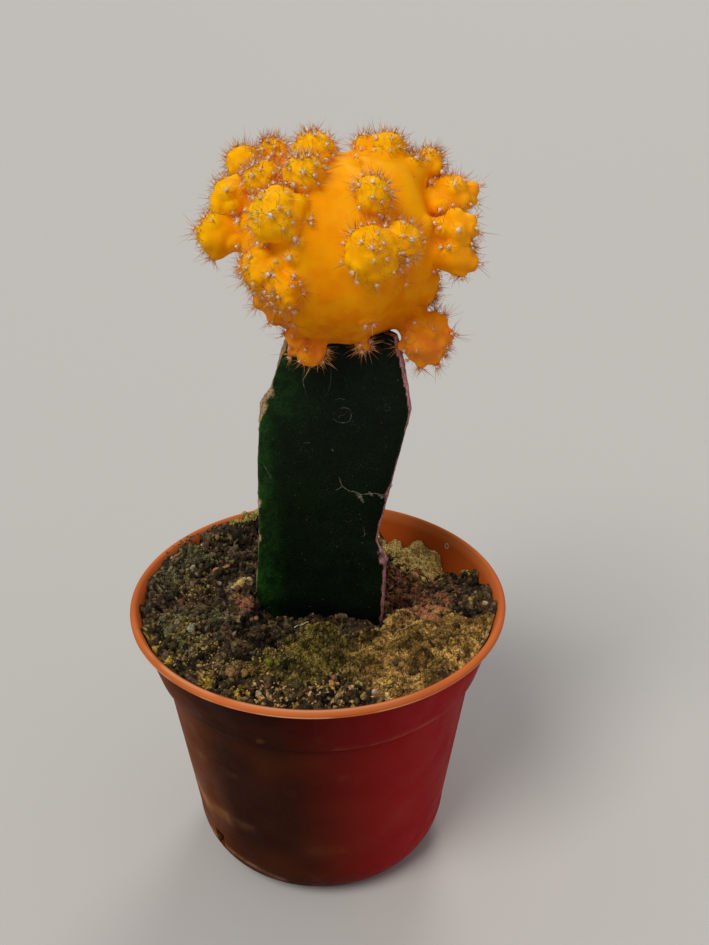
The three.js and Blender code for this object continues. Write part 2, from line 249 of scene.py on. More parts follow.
# A piece is finished when it rides on the body, has its material, and stands for its node
def finishPiece(piece, material, node=None):
    piece.data.materials.clear()
    piece.data.materials.append(material)
    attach(piece, "root")
    if node:
        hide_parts(node)
    piece.data.calc_loop_triangles()
    print(piece.name, len(piece.data.loop_triangles), "triangles")


# A material whose constant values stand on its shader's own sockets
def newMaterial(name, **sockets):
    material = bpy.data.materials.new(name)
    material.use_nodes = True
    shader = material.node_tree.nodes["Principled BSDF"]
    for key, value in sockets.items():
        shader.inputs[key.replace("_", " ")].default_value = value
    return material


# A node with its settings and its inputs, named or by number as in i0: a socket is linked, a value is set
def addNode(material, kind, settings=None, **inputs):
    node = material.node_tree.nodes.new(kind)
    for key, value in (settings or {}).items():
        setattr(node, key, value)
    for key, value in inputs.items():
        socket = node.inputs[int(key[1:])] if key[0] == "i" and key[1:].isdigit() else node.inputs[key]
        if isinstance(value, bpy.types.NodeSocket):
            material.node_tree.links.new(value, socket)
        else:
            socket.default_value = value
    return node


# The material with outputs linked to its shader's sockets
def connect(material, **outputs):
    shader = material.node_tree.nodes["Principled BSDF"]
    for key, output in outputs.items():
        material.node_tree.links.new(output, shader.inputs[key.replace("_", " ")])
    return material


# Object coordinates in millimetres, stretched along each axis
def placeInMillimetres(material, stretch=(1, 1, 1)):
    place = addNode(material, "ShaderNodeTexCoord").outputs["Object"]
    scale = tuple(perMetre * part for part in stretch)
    return addNode(material, "ShaderNodeMapping", Vector=place, Scale=scale).outputs[0]


# Noise of a size in millimetres, from about 0.3 to 0.7
def noiseOf(material, place, size, detail=3, roughness=0.5):
    settings = {"Vector": place, "Scale": 1 / size, "Detail": detail, "Roughness": roughness}
    return addNode(material, "ShaderNodeTexNoise", **settings).outputs[0]


# The first output of a node whose inputs are given in their own order
def inOrder(material, kind, settings, *values):
    inputs = {f"i{place}": value for place, value in enumerate(values)}
    return addNode(material, kind, settings, **inputs).outputs[0]


# A value carried from one range to another, eased at both ends
def remap(material, *valueAndRanges):
    return inOrder(material, "ShaderNodeMapRange", {"interpolation_type": "SMOOTHSTEP"}, *valueAndRanges)


# Noise carried from one range to another, by a row of its size, detail and roughness and of both ranges
def carriedNoise(material, place, row):
    noise, *ranges = row
    return remap(material, noiseOf(material, place, *noise), *ranges)


# Spots round scattered points: the distance in cells, this many to the millimetre, carried in the same way
def spotsOf(material, place, row):
    perMillimetre, *ranges = row
    cells = addNode(material, "ShaderNodeTexVoronoi", Vector=place, Scale=perMillimetre)
    return remap(material, cells.outputs["Distance"], *ranges)


# One step of arithmetic
def mathOf(material, operation, *values):
    return inOrder(material, "ShaderNodeMath", {"operation": operation}, *values)


# Two colours mixed by a share, or blended in another way
def mixColors(material, share, first, second, kind="MIX"):
    settings = {"data_type": "RGBA", "blend_type": kind, "clamp_factor": True}
    first, second = [(*color, 1) if isinstance(color, tuple) else color for color in (first, second)]
    return addNode(material, "ShaderNodeMix", settings, i0=share, i6=first, i7=second).outputs[2]


# Relief by noise, from a row of its height in millimetres and the noise's settings, onto another relief
def reliefOf(material, place, row, onto=None):
    depth, *noise = row
    height = noiseOf(material, place, *noise)
    node = addNode(material, "ShaderNodeBump", Height=height, Distance=depth / perMetre)
    if onto is not None:
        material.node_tree.links.new(onto, node.inputs["Normal"])
    return node.outputs[0]


# A colour times a grain of noise
def grained(material, place, color, row):
    return mixColors(material, 1.0, color, carriedNoise(material, place, row), "MULTIPLY")


# A material finished with its colour, and with the roughness and the reliefs that its settings list
def finishMaterial(material, place, color, look, relief=None):
    rough = carriedNoise(material, place, look["roughness"])
    for row in look["reliefs"]:
        relief = reliefOf(material, place, row, relief)
    return connect(material, Base_Color=color, Roughness=rough, Normal=relief)


# The colours that tint() gave to the vertices
def tintOf(material):
    return addNode(material, "ShaderNodeVertexColor", {"layer_name": "tint"}).outputs[0]


# The pot: lengths in millimetres, heights from the foot, azimuths in degrees from the front towards +X
pot = {
    "segments": 288,
    "rowHeight": 1.6,
    "edgeRounding": 0.35,
    "edgeSteps": 5,
    "sharpAngle": 50,
    "wallThickness": 1.3,
    "collarTopRadius": 43.5,
    "collarBottomRadius": 39.7,
    "collarBottomHeight": 55.8,
    "collarStep": ((-0.5, -0.4), (0, 0.3)),  # its lower edge, off its bottom radius and height
    "lipHeight": 1.9,
    "lip": ((0.3, 1.85), (0.05, 1.55), (0.05, 1.35), (0.2, 1.25), (0, 1.1), (0.05, 0.7), (0.4, 0.25),
            (0.9, 0), (1.5, 0.3)),  # in from the rim and down from its top
    "insideShifts": ((-0.3, -1), (0, 0.8), (-0.5, -1.2)),  # off the wall's top, the collar's bottom and top
    "wallTopRadius": 38,
    "wallTopHeight": 54.8,
    "cornerRadius": 32.1,
    "cornerHeight": 12.5,
    "cornerReach": 7.9,
    "cornerSteps": 14,
    "footRadius": 24.2,
    "footWidth": 3.9,
    "footHeight": 1,
    "footSlope": 0.4,
    "floorTop": 2.4,
    "floorMiddle": 3,  # radius of the innermost ring
    "drainRadius": 2.6,
    "drainCircle": 13.5,
    "drainCount": 6,
    "drainSides": 28,
    "drainSpan": (-2, 5),
    "notchSize": (9, 3.4, 5.6),
    "notchPlace": (31, 10.5),
    "notchTilt": 20,
    "notchAzimuth": 219,
    "outsideColor": (0.15, 0.034, 0.0035),
    # darkColor is painted shade, on the front of the outer wall and deep inside the pot
    "darkColor": (0.019, 0.0024, 0.0007),
    "paintedShadeSide": ((-66, -32), (90, 180)),  # azimuths over which it begins and ends
    # Painted pink light on the right of the outer wall
    "paintedPinkLightColor": (0.3, 0.005, 0.0085),
    "paintedPinkLightSide": ((-9, 54), (75, 180)),
    "paintedPinkLightSlant": 0.1,  # degrees for each millimetre up
    "insideColor": (0.46, 0.085, 0.011),
    "insideHeights": (50, 60),
    "deepShadeHeights": (20, 40),
    "lipColor": (0.57, 0.145, 0.036),
    # Painted highlights along the lip's lower edge, where there is also wear, and along its top
    "lipHighlightAndWear": (0.72, 0.36, 0.19),
    "edgeHighlightAndWear": (0.28, 0.75),  # width and strength along the lip's lower edge
    "crownHighlight": (0.3, 0.6),  # width and strength along the lip's top
    "crownSide": ((-75, -45), (5, 40)),
    "crownInset": 0.75,
    "dustColor": (0.3, 0.17, 0.1),
    "dustHeights": (14, 2),
    "dustShare": 0.2,
    "fleckShare": 0.012,
    "hazeHeights": (56, 52.5),
    "hazeShare": 0.02,
    # Scuffs and painted highlights on the outer wall; most strokes are painted highlights
    "scuffAndHighlightColor": (0.4, 0.165, 0.062),
    "scuffsAndHighlights": [(-73, 36, -70, 26, 1.2, 0.48), (-70, 26, -58, 21, 2.4, 0.8), (-58, 21, -41, 22.6, 2.0, 0.48),
               (-41, 22.6, -28, 23.4, 1.1, 0.14), (-60, 10, -29, 8.2, 0.8, 0.6),
               (-29, 8.2, -16, 6.5, 0.7, 0.4), (18, 56, 44, 56.4, 0.3, 0.35), (6, 56.2, 18, 56, 0.3, 0.15),
               (-17.6, 57.9, -16.6, 57.9, 0.45, 0.14), (1, 60, 2, 60, 0.5, 0.13),
               (-11, 39.8, -8, 39.8, 0.7, 0.06), (9, 45, 15, 44, 0.9, 0.06), (-35, 41, -31, 40.6, 0.6, 0.06),
               (-2, 19.6, 10, 19.2, 1.5, 0.05), (30, 24, 44, 30, 3.0, 0.05), (-50, 40, -47, 41, 0.9, 0.25),
               (120, 20, 150, 30, 1.5, 0.13), (-150, 34, -128, 22, 1.5, 0.13)],
    "ringColor": (0.62, 0.5, 0.38),
    "ringPlace": (33, 26.3, 67.9),
    "ringRadius": 0.62,
    "ringWidth": 0.22,
    "ringShare": 0.75,
    "turningMarks": (0.08, 0.08, 1),  # the relief's stretch, so that it runs round the wall
    "turningRelief": (0.05, 1.4, 2),
    "specular": 0.025,
    # Noises: size, detail and roughness, and the range that each is carried from and to
    "smears": ((5, 5, 0.65), 0.55, 0.72, 0, 1),
    "flecks": ((0.8, 2), 0.56, 0.66, 0, 1),
    "roughness": ((7, 5, 0.6), 0.35, 0.7, 0.42, 0.62),
    "reliefs": [(0.012, 0.35, 2)],  # each a height and its noise
}


# The rounded bottom corner: a quarter of an ellipse from the foot outwards and up to the wall
def potCorner(inset, bottom):
    angle = np.linspace(0, np.pi / 2, pot["cornerSteps"])
    radius = pot["cornerRadius"] - inset - pot["cornerReach"] * (1 - np.sin(angle))
    return np.stack([radius, pot["cornerHeight"] - (pot["cornerHeight"] - bottom) * np.cos(angle)], -1)


# Inside of the pot from the floor up to the lip, as radius and height
def potInside():
    wall = pot["wallThickness"]
    wallTop = (pot["wallTopRadius"] - wall, pot["wallTopHeight"])
    collarBottom = (pot["collarBottomRadius"] - wall, pot["collarBottomHeight"])
    collarTop = (pot["collarTopRadius"], potHeight)
    upper = np.array([wallTop, collarBottom, collarTop]) + pot["insideShifts"]
    return np.concatenate([potCorner(wall, pot["floorTop"]), upper])


# Radius of the pot's inside at each height
def potInnerRadius(height):
    line = potInside()
    return np.interp(height, line[:, 1], line[:, 0])


# An outline with its corners rounded: each is cut back by a length, and a quadratic curve joins the cuts
def rounded(outline, cut, steps):
    before = np.roll(outline, 1, 0) - outline
    after = np.roll(outline, -1, 0) - outline
    shorter = np.minimum(lengthOf(before), lengthOf(after))
    reach = np.minimum(cut, 0.45 * shorter[:, None])
    start, end = outline + unit(before) * reach, outline + unit(after) * reach
    share = np.linspace(0, 1, steps)[None, :, None]
    curve = (1 - share) ** 2 * start[:, None] + 2 * share * (1 - share) * outline[:, None]
    return (curve + share ** 2 * end[:, None]).reshape(-1, 2)


# A line with points put in so that none of its steps is longer than a length
def evenly(line, longest):
    far = np.concatenate([[0], np.cumsum(lengthOf(np.diff(line, axis=0)))])
    count = np.maximum(np.ceil(np.diff(far) / longest), 1).astype(int)
    steps = [np.linspace(a, b, n, endpoint=False) for a, b, n in zip(far[:-1], far[1:], count)]
    places = np.append(np.concatenate(steps), far[-1])
    return np.stack([np.interp(places, far, line[:, axis]) for axis in range(2)], -1)


# A profile of radius and height turned round the upright axis
def turned(profile, segments):
    angle = np.arange(segments) / segments * turn
    radius, height = profile[:, :1], profile[:, 1:]
    return np.stack([radius * np.cos(angle), radius * np.sin(angle), height + 0 * angle], -1)


# The pot: its outline, from the floor's underside out over the foot, up the wall, round the lip and back
# down inside, turned round the upright axis, less the drain holes and the notch
def makePot(material):
    foot, footInside = pot["footRadius"], pot["footRadius"] - pot["footWidth"]
    collarBottom = np.array((pot["collarBottomRadius"], pot["collarBottomHeight"]))
    outline = np.concatenate([
        [(pot["floorMiddle"], pot["footHeight"]), (footInside - pot["footSlope"], pot["footHeight"])],
        [(footInside, 0), (foot, 0)],
        potCorner(0, pot["footHeight"]),
        [(pot["wallTopRadius"], pot["wallTopHeight"])],
        collarBottom + pot["collarStep"],
        [(pot["collarTopRadius"], potHeight - pot["lipHeight"])],
        np.array((rimRadius, potHeight)) - pot["lip"],
        potInside()[::-1],
        [(pot["floorMiddle"], pot["floorTop"])],
    ])
    ends = pot["edgeSteps"] - 1
    curve = rounded(outline, pot["edgeRounding"], pot["edgeSteps"])[ends:-ends]
    piece = meshObject("pot_moulding", *closedGrid(turned(evenly(curve, pot["rowHeight"]), pot["segments"])))
    cutOut(piece, potCutters())
    piece.data.set_sharp_from_angle(angle=np.radians(pot["sharpAngle"]))
    tint(piece, potColors(pointsOf(piece)))
    finishPiece(piece, material, "pot")


# Share of the scuffs and painted highlights on the outer wall, most of them painted highlights: each runs
# from an azimuth and height to another, with a width and a strength, fades by exp(-(d / width)²) and is
# frayed by noise
def scuffAndHighlightShare(azimuth, height, points):
    share = np.zeros(len(points))
    fray = 0.4 + 0.6 * ease(layeredNoise(points, 1.6, 25), 0.3, 0.62)
    perDegree = np.radians(1) * pot["wallTopRadius"]
    place = np.stack([azimuth * perDegree, height], -1)
    for startAzimuth, startHeight, endAzimuth, endHeight, width, strength in pot["scuffsAndHighlights"]:
        start = np.array([startAzimuth * perDegree, startHeight])
        along = np.array([endAzimuth * perDegree, endHeight]) - start
        part = np.clip((place - start) @ along / (along @ along), 0, 1)
        far = lengthOf(place - start - part[:, None] * along)
        share = np.maximum(share, strength * bell(far, width))
    return share * fray


# Colours of the pot: brown outside, with painted shade at its front and painted pink light at its right,
# with scuffs and painted highlights, a bright inside with painted shade low down, an orange lip, and painted
# highlights along the lip's lower edge, where there is also wear, and along its top
def potColors(points):
    radius, height = np.hypot(points[:, 0], points[:, 1]), points[:, 2]
    azimuth = np.degrees(np.arctan2(points[:, 0], -points[:, 1]))
    cloud = ease(layeredNoise(points * (1, 1, 1.6), 22, 21), 0.3, 0.7)
    # Painted shade on the front of the outer wall
    dark = np.clip(riseAndFall(azimuth, *pot["paintedShadeSide"]) * (0.8 + 0.2 * cloud), 0, 1)
    colors = blendColors(pot["outsideColor"], pot["darkColor"], dark)
    # Painted pink light on the right of the outer wall
    rise, fall = pot["paintedPinkLightSide"]
    paintedPinkLight = ease(azimuth + pot["paintedPinkLightSlant"] * height, *rise) * (1 - ease(azimuth, *fall))
    colors = blendColors(colors, pot["paintedPinkLightColor"], paintedPinkLight)
    # Scuffs and painted highlights
    colors = blendColors(colors, pot["scuffAndHighlightColor"], scuffAndHighlightShare(azimuth, height, points))
    inside = 1 - ease(radius - potInnerRadius(height), 0.2, 0.8)
    colors = blendColors(colors, pot["insideColor"], inside * ease(height, *pot["insideHeights"]))
    # Painted shade deep inside the pot
    colors = blendColors(colors, pot["darkColor"], 0.9 * inside * (1 - ease(height, *pot["deepShadeHeights"])))
    lipBottom = potHeight - pot["lipHeight"]
    lip = ease(height, lipBottom - 0.3, lipBottom + 0.3)
    colors = blendColors(colors, pot["lipColor"], lip * (0.75 + 0.25 * cloud))
    # Painted highlight, with some wear, along the lip's lower edge
    width, strength = pot["edgeHighlightAndWear"]
    edge = bell(height - lipBottom - 0.35, width) * (radius > rimRadius - 0.6)
    edge = edge * ease(layeredNoise(points, 5, 27), 0.3, 0.6)
    colors = blendColors(colors, pot["lipHighlightAndWear"], strength * edge)
    # Painted highlight along the lip's top
    width, strength = pot["crownHighlight"]
    crown = bell(radius - rimRadius + pot["crownInset"], width) * (height > potHeight - 0.5)
    rise, fall = pot["crownSide"]
    crown = crown * (ease(azimuth, *rise) - ease(azimuth, *fall))
    crown = crown * ease(layeredNoise(points, 7, 28), 0.25, 0.55)
    return blendColors(colors, pot["lipHighlightAndWear"], strength * crown)


# The drain holes as short drums, and the notch as a box at
# the bottom corner, tilted and then turned to its azimuth
def potCutters():
    side = np.array([(pot["drainRadius"], level) for level in pot["drainSpan"]], float)
    drum = turned(side, pot["drainSides"])
    angle = np.arange(pot["drainCount"]) / pot["drainCount"] * turn
    places = pot["drainCircle"] * np.stack([np.cos(angle), np.sin(angle), 0 * angle], -1)
    parts = [closedGrid(drum + place) for place in places]
    long, wide, tall = pot["notchSize"]
    base = np.array([(-1, -1), (1, -1), (1, 1), (-1, 1)]) / 2 * (long, wide)
    box = np.stack([np.c_[base, np.full(4, level)] for level in (-tall / 2, tall / 2)])
    tilt, azimuth = np.radians(pot["notchTilt"]), np.radians(pot["notchAzimuth"])
    tilting = [[np.cos(tilt), 0, -np.sin(tilt)], [0, 1, 0], [np.sin(tilt), 0, np.cos(tilt)]]
    turning = [[np.cos(azimuth), np.sin(azimuth), 0], [-np.sin(azimuth), np.cos(azimuth), 0], [0, 0, 1]]
    box = box @ np.array(tilting) + (pot["notchPlace"][0], 0, pot["notchPlace"][1])
    return joined(parts + [closedGrid(box @ np.array(turning))])


# Plastic: the tint, with dust in smears low down, flecks all over and a haze under the collar, and the
# moulded ring inside where a point's distance from its middle is near its radius
def potMaterial():
    material = newMaterial("terracotta plastic", Specular_IOR_Level=pot["specular"])
    place = placeInMillimetres(material)
    height = addNode(material, "ShaderNodeSeparateXYZ", Vector=place).outputs["Z"]
    smears, flecks = [carriedNoise(material, place, pot[key]) for key in ("smears", "flecks")]
    low = remap(material, height, *pot["dustHeights"], 0, pot["dustShare"])
    smears = mathOf(material, "MULTIPLY", smears, low)
    flecks = mathOf(material, "MULTIPLY", flecks, pot["fleckShare"])
    haze = remap(material, height, *pot["hazeHeights"], 0, pot["hazeShare"])
    color = tintOf(material)
    for dust in (smears, flecks, haze):
        color = mixColors(material, dust, color, pot["dustColor"])
    far = addNode(material, "ShaderNodeVectorMath", {"operation": "DISTANCE"}, i0=place, i1=pot["ringPlace"])
    fromRing = mathOf(material, "SUBTRACT", far.outputs["Value"], pot["ringRadius"])
    fromRing = mathOf(material, "ABSOLUTE", fromRing)
    ring = remap(material, fromRing, pot["ringWidth"], 0.4 * pot["ringWidth"], 0, pot["ringShare"])
    color = mixColors(material, ring, color, pot["ringColor"])
    relief = reliefOf(material, placeInMillimetres(material, pot["turningMarks"]), pot["turningRelief"])
    return finishMaterial(material, place, color, pot, relief)


# The rootstock: its ribs' azimuths go round from +X, and
# each rib is a list of heights and how far it stands out
stem = {
    "centre": (3.4, 4.6),
    "azimuths": {"leftRib": 188, "rightRib": 320, "backRib": 75},
    "leftRib": [(34, 16), (70, 19), (84, 17.9), (106, 17.3), (120, 16.1), (123.5, 13.7), (134, 10.4),
                (139, 7.6)],
    "rightRib": [(34, 13), (66, 15.6), (76, 16.4), (84, 16.4), (88, 13.9), (91, 14.3), (106, 18.3),
                 (120, 21.9), (123.5, 22.6), (134, 20.4), (139, 18.6)],
    "backRib": [(34, 15), (70, 18.2), (91, 18), (106, 18.6), (120, 19), (123.5, 18.4), (139, 11)],
    "knots": (76, 84, 88),  # heights that only the rib's own edge follows
    "ribHalfWidth": 1.5,
    "ribRounding": 1.1,
    "faceHollow": 1.6,
    "faceSteps": 6,
    "roundings": 4,
    "levels": 230,
    "sharpAngle": 60,
    "waves": (9, 0.5),  # size and height
    "corkWaves": (0.9, 0.5),
    "wartHeight": 84.2,
    "wartWidth": 1.25,
    "wartSwell": 0.9,
    "holePlace": (-0.75, 0.1, 0.4),  # off the rib's edge at the wart's height
    "holeWidth": 0.7,
    "holeDepth": 1.4,
    # Cork along each rib: heights and the strip's widths
    "strips": {
        "leftRib": [(68, 0), (70, 0.45), (84.2, 0.4), (84.5, 1.3), (85.9, 1.2), (86.3, 0.4), (93.2, 0.4),
                    (93.7, 1.6), (95.4, 1.5), (95.9, 0.3), (112, 0.3), (114.5, 0.7), (117, 1.3),
                    (119.5, 2.5), (122.2, 2.4), (123.6, 1.3), (124.4, 0.6), (128, 0.7), (134, 1.4),
                    (142, 1.6)],
        "rightRib": [(64, 0.9), (78, 0.8), (82, 0.7), (83, 1.5), (85.3, 1.5), (86.2, 0.55), (95, 0.5),
                     (99, 0.45), (101, 0.7), (104, 0.7), (105, 0.42), (121.5, 0.42), (123.4, 0.7),
                     (127, 0.9), (134, 1.1), (142, 1.3)],
        "backRib": [(64, 0), (77.5, 0.2), (78.4, 1.6), (80, 1.6), (81, 0.3), (101, 0.3), (101.8, 1.6),
                    (103.4, 1.5), (104.2, 0.2), (122.6, 0.2), (124, 1.6), (142, 1.8)],
    },
    "green": (0.003, 0.0095, 0.0028),
    "darkGreen": (0.0018, 0.0042, 0.0017),
    # Painted light: the light green along the stem's left and in the patch beside it
    "paintedLightGreen": (0.01, 0.048, 0.005),
    "paintedLightSide": (-14, -7),  # how far right the light green ends
    "paintedLightPatch": ((112, 122), (129, 137)),  # heights over which the patch beside it begins and ends
    "patchMiddle": -8,
    "patchWidth": 5,
    "patchShare": 0.5,
    "cork": (0.31, 0.215, 0.12),
    # Cork tinted pink by painted pink light on the right rib
    "corkInPaintedPinkLight": (0.36, 0.16, 0.17),
    "dustColor": (0.052, 0.062, 0.045),
    "speckColor": (0.1, 0.12, 0.08),
    "shadedFoot": (66, 71),
    "footShade": 0.35,
    "specular": 0.07,
    "dust": ((0.45, 4, 0.7), 0.56, 0.7, 0, 0.6),
    "dustClouds": ((5, 3), 0.5, 0.66, 0, 1),
    "specks": (0.42, 0.08, 0.04, 0, 0.35),
    "grain": ((0.4, 3, 0.7), 0.35, 0.65, 0.55, 1.4),
    "roughness": ((2.2, 5, 0.65), 0.35, 0.7, 0.34, 0.6),
    "reliefs": [(0.07, 1.8, 3), (0.02, 0.3, 3)],
}
stemCentre = np.array(stem["centre"])


# The direction that a rib stands out in
def ribWay(rib):
    azimuth = np.radians(stem["azimuths"][rib])
    return np.array([np.cos(azimuth), np.sin(azimuth)])


# How far a rib's edge stands from the stem's middle at each height; the calm line leaves its knots out
def ribReach(rib, heights, calm=False):
    line = np.array(stem[rib], float)
    if calm:
        line = line[[height not in stem["knots"] for height in line[:, 0]]]
    return np.interp(heights, line[:, 0], line[:, 1])


# The stem's outlines at some heights (heights, points, 2): three rib edges, each followed by a face that is
# pulled inwards by 4s(1 - s) and follows its edges' knots only near them, by (1 - s)^6 and s^6; then the
# corners are cut a quarter from each end again and again until they are round
def stemOutlines(heights):
    tips, shoulders = [], []
    for rib in stem["azimuths"]:
        way = ribWay(rib)
        across = np.array([-way[1], way[0]]) * stem["ribHalfWidth"]
        tips.append(stemCentre + ribReach(rib, heights)[:, None] * way)
        calm = stemCentre + (ribReach(rib, heights, True)[:, None] - stem["ribRounding"]) * way
        knot = tips[-1] - stem["ribRounding"] * way - calm
        shoulders.append((calm - across, calm + across, knot))
    share = np.linspace(0, 1, stem["faceSteps"] + 1)[None, :, None]
    parts = []
    for rib, tip in enumerate(tips):
        _, start, startKnot = shoulders[rib]
        end, _, endKnot = shoulders[(rib + 1) % len(tips)]
        inward = unit(stemCentre - (start + end) / 2)
        hollow = inward[:, None] * stem["faceHollow"] * 4 * share * (1 - share)
        face = start[:, None] + (end - start)[:, None] * share + hollow
        face = face + startKnot[:, None] * (1 - share) ** 6 + endKnot[:, None] * share ** 6
        parts += [tip[:, None], face]
    outline = np.concatenate(parts, 1)
    for _ in range(stem["roundings"]):
        after = np.roll(outline, -1, 1)
        pair = np.stack([0.75 * outline + 0.25 * after, 0.25 * outline + 0.75 * after], 2)
        outline = pair.reshape(len(heights), -1, 2)
    return outline


# Distance from the stem's middle to its skin at each angle round it, at one height
def stemReach(angles, height):
    outline = stemOutlines(np.array([float(height)]))[0] - stemCentre
    places = np.arctan2(outline[:, 1], outline[:, 0])
    return np.interp(angles, places, np.hypot(*outline.T), period=turn)


# The stem's rings moved outwards by a clearance, for the cut in the head
def stemPlug(clearance, bottom, top, count):
    heights = np.linspace(bottom, top, count)
    outline = stemOutlines(heights)
    outward = unit(outline - stemCentre)
    level = np.repeat(heights, outline.shape[1]).reshape(count, -1, 1)
    return np.concatenate([outline + clearance * outward, level], 2)


# Distance from a rib's edge line
def fromRib(points, rib):
    tip = stemCentre + ribReach(rib, points[:, 2])[:, None] * ribWay(rib)
    return lengthOf(points[:, :2] - tip)


# Share of cork on a rib's edge: 1 - d/w, where the strip's
# width w changes with height and is frayed by noise
def corkOn(points, rib):
    heights, widths = np.array(stem["strips"][rib], float).T
    fray = 0.2 + 1.6 * layeredNoise(points * (1, 1, 0.6), 1.3, 31)
    width = np.interp(points[:, 2], heights, widths) * fray
    return ease(1 - fromRib(points, rib) / np.maximum(width, 0.05), 0, 0.3)


# Where the stem is corky: beige on the left and the back rib, and on the right one the cork that painted
# pink light tints pink
def corkShare(points):
    return np.maximum(corkOn(points, "leftRib"), corkOn(points, "backRib")), corkOn(points, "rightRib")


# The small hole in the right rib's wart: on the front face, beside the rib's edge
def wartHole():
    right, back, up = stem["holePlace"]
    height = stem["wartHeight"] + up
    place = stemCentre + ribReach("rightRib", height) * ribWay("rightRib")
    return np.array([place[0] + right, place[1] + back, height])


# The stem's skin: its outlines stacked from the foot to the graft, moved outwards by waves, by the cork's
# own waves and by the wart's bump exp(-(d / width)²), and inwards at its hole
def makeStem(material):
    heights = np.linspace(stemBase, graftHeight, stem["levels"])
    outline = stemOutlines(heights)
    outward = unit(outline - stemCentre)
    level = np.broadcast_to(heights[:, None, None], (*outline.shape[:2], 1))
    rings = np.concatenate([outline, level], 2)
    flat = rings.reshape(-1, 3)
    cork = np.clip(sum(corkShare(flat)), 0, 1)
    size, tall = stem["waves"]
    swell = tall * (layeredNoise(flat, size, 5) - 0.5)
    size, tall = stem["corkWaves"]
    swell = swell + cork * tall * (layeredNoise(flat, size, 8) - 0.35)
    wide = stem["wartWidth"]
    wart = np.exp(-(fromRib(flat, "rightRib") / wide) ** 2 - ((flat[:, 2] - stem["wartHeight"]) / wide) ** 2)
    hole = bell(lengthOf(flat - wartHole()), stem["holeWidth"])
    swell += stem["wartSwell"] * wart - stem["holeDepth"] * hole
    shift = np.concatenate([outward, 0 * level], 2).reshape(-1, 3) * swell[:, None]
    piece = meshObject("rootstock_skin", *closedGrid((flat + shift).reshape(rings.shape)))
    colors = stemColors(pointsOf(piece))
    shade = 1 - 0.95 * np.append(hole, np.zeros(len(colors) - len(hole)))
    tint(piece, colors * shade[:, None])
    piece.data.set_sharp_from_angle(angle=np.radians(stem["sharpAngle"]))
    finishPiece(piece, material, "rootstock")


# Colours of the stem: two dark greens, a light green along the left and in a patch beside it as painted
# light, cork on the ribs, tinted pink on the right rib as painted pink light, and painted shade at the foot
def stemColors(points):
    beige, pink = corkShare(points)
    colors = blendColors(stem["darkGreen"], stem["green"], layeredNoise(points, 7, 12))
    # Painted light along the left and in the patch beside it
    patch = bell(points[:, 0] - stem["patchMiddle"], stem["patchWidth"])
    patch = stem["patchShare"] * patch * riseAndFall(points[:, 2], *stem["paintedLightPatch"])
    left = np.maximum(1 - ease(points[:, 0], *stem["paintedLightSide"]), patch)
    mottle = ease(layeredNoise(points, 1.6, 14), 0.3, 0.7)
    colors = blendColors(colors, stem["paintedLightGreen"], left * (0.25 + 0.75 * mottle))
    rough = 0.35 + 1.2 * layeredNoise(points * (1, 1, 0.5), 0.8, 17)[:, None]
    colors = blendColors(colors, np.array(stem["cork"]) * rough, beige)
    # Cork on the right rib, tinted pink as painted pink light
    colors = blendColors(colors, np.array(stem["corkInPaintedPinkLight"]) * rough, pink)
    lit = ease(points[:, 2], *stem["shadedFoot"])[:, None]
    return colors * (stem["footShade"] + (1 - stem["footShade"]) * lit)


# Waxy skin: the tint under patches of fine dust, with a few pale specks and a fine grain
def stemMaterial():
    material = newMaterial("waxy green skin", Specular_IOR_Level=stem["specular"])
    place = placeInMillimetres(material)
    dust = [carriedNoise(material, place, stem[key]) for key in ("dust", "dustClouds")]
    color = mixColors(material, mathOf(material, "MULTIPLY", *dust), tintOf(material), stem["dustColor"])
    color = mixColors(material, spotsOf(material, place, stem["specks"]), color, stem["speckColor"])
    return finishMaterial(material, place, grained(material, place, color, stem["grain"]), stem)


# Scars on the stem's front face: each line's width, and how far right and how high its points lie
scars = {
    "crack": (0.2, [(5.6, 102), (6.2, 101.2), (7.6, 100.4), (8.6, 100.6), (9.4, 100.3), (10.3, 100.1),
                     (11.5, 100.7), (12.5, 100.9), (13.4, 101.4), (14.3, 101.1), (15.4, 101.2), (16.4, 102),
                     (17.2, 103.4)]),
    "crack start": (0.15, [(4.4, 100.1), (5.2, 100.6), (6.0, 101.4), (5.5, 102.6), (5.3, 103.8)]),
    "left blotch": (0.62, [(9.1, 100.6), (9.8, 100.0), (10.3, 99.4), (10.8, 98.2)]),
    "right blotch": (0.5, [(13.9, 101.3), (14.6, 100.8), (15.3, 100.5), (16.0, 101.0)]),
    "small blotch": (0.34, [(11.9, 101.4), (12.5, 101.0), (12.9, 100.4)]),
    "oval left": (0.075, [(-2.0, 129.4), (-2.6, 127.4), (-2.5, 125.4), (-1.9, 123.1)]),
    "oval right": (0.075, [(3.5, 130), (3.7, 128.1), (3.4, 125.8), (2.7, 123.5)]),
    "shield": (0.07, [(4.4, 119.6), (5.1, 120.9), (6.6, 121.4), (7.9, 121.2), (8.1, 119.6), (7.5, 118.1),
                      (6.2, 117.6), (4.7, 117.7), (4.0, 118.3)]),
    "shield's inside": (0.05, [(5.0, 118.6), (5.6, 119.4), (6.4, 119.6), (6.9, 120.3)]),
    "high arc": (0.06, [(4.3, 122.6), (5.3, 123.3), (6.6, 123.2), (7.2, 122.6)]),
    "edge arc": (0.06, [(15.1, 122.4), (16.5, 123.1), (18.3, 123.5)]),
    "faint mark": (0.07, [(-3.3, 111), (-1.8, 111.5), (-0.3, 111.6)]),
    "small dot": (0.13, [(3.5, 110.7), (3.9, 110.4), (4.0, 110.0)]),
    "left scratch": (0.1, [(-12.7, 105.8), (-11.6, 104.1), (-10.3, 101.3)]),
    "low dots": (0.09, [(10.1, 88.7), (11.2, 89.3), (10.8, 91.3)]),
}
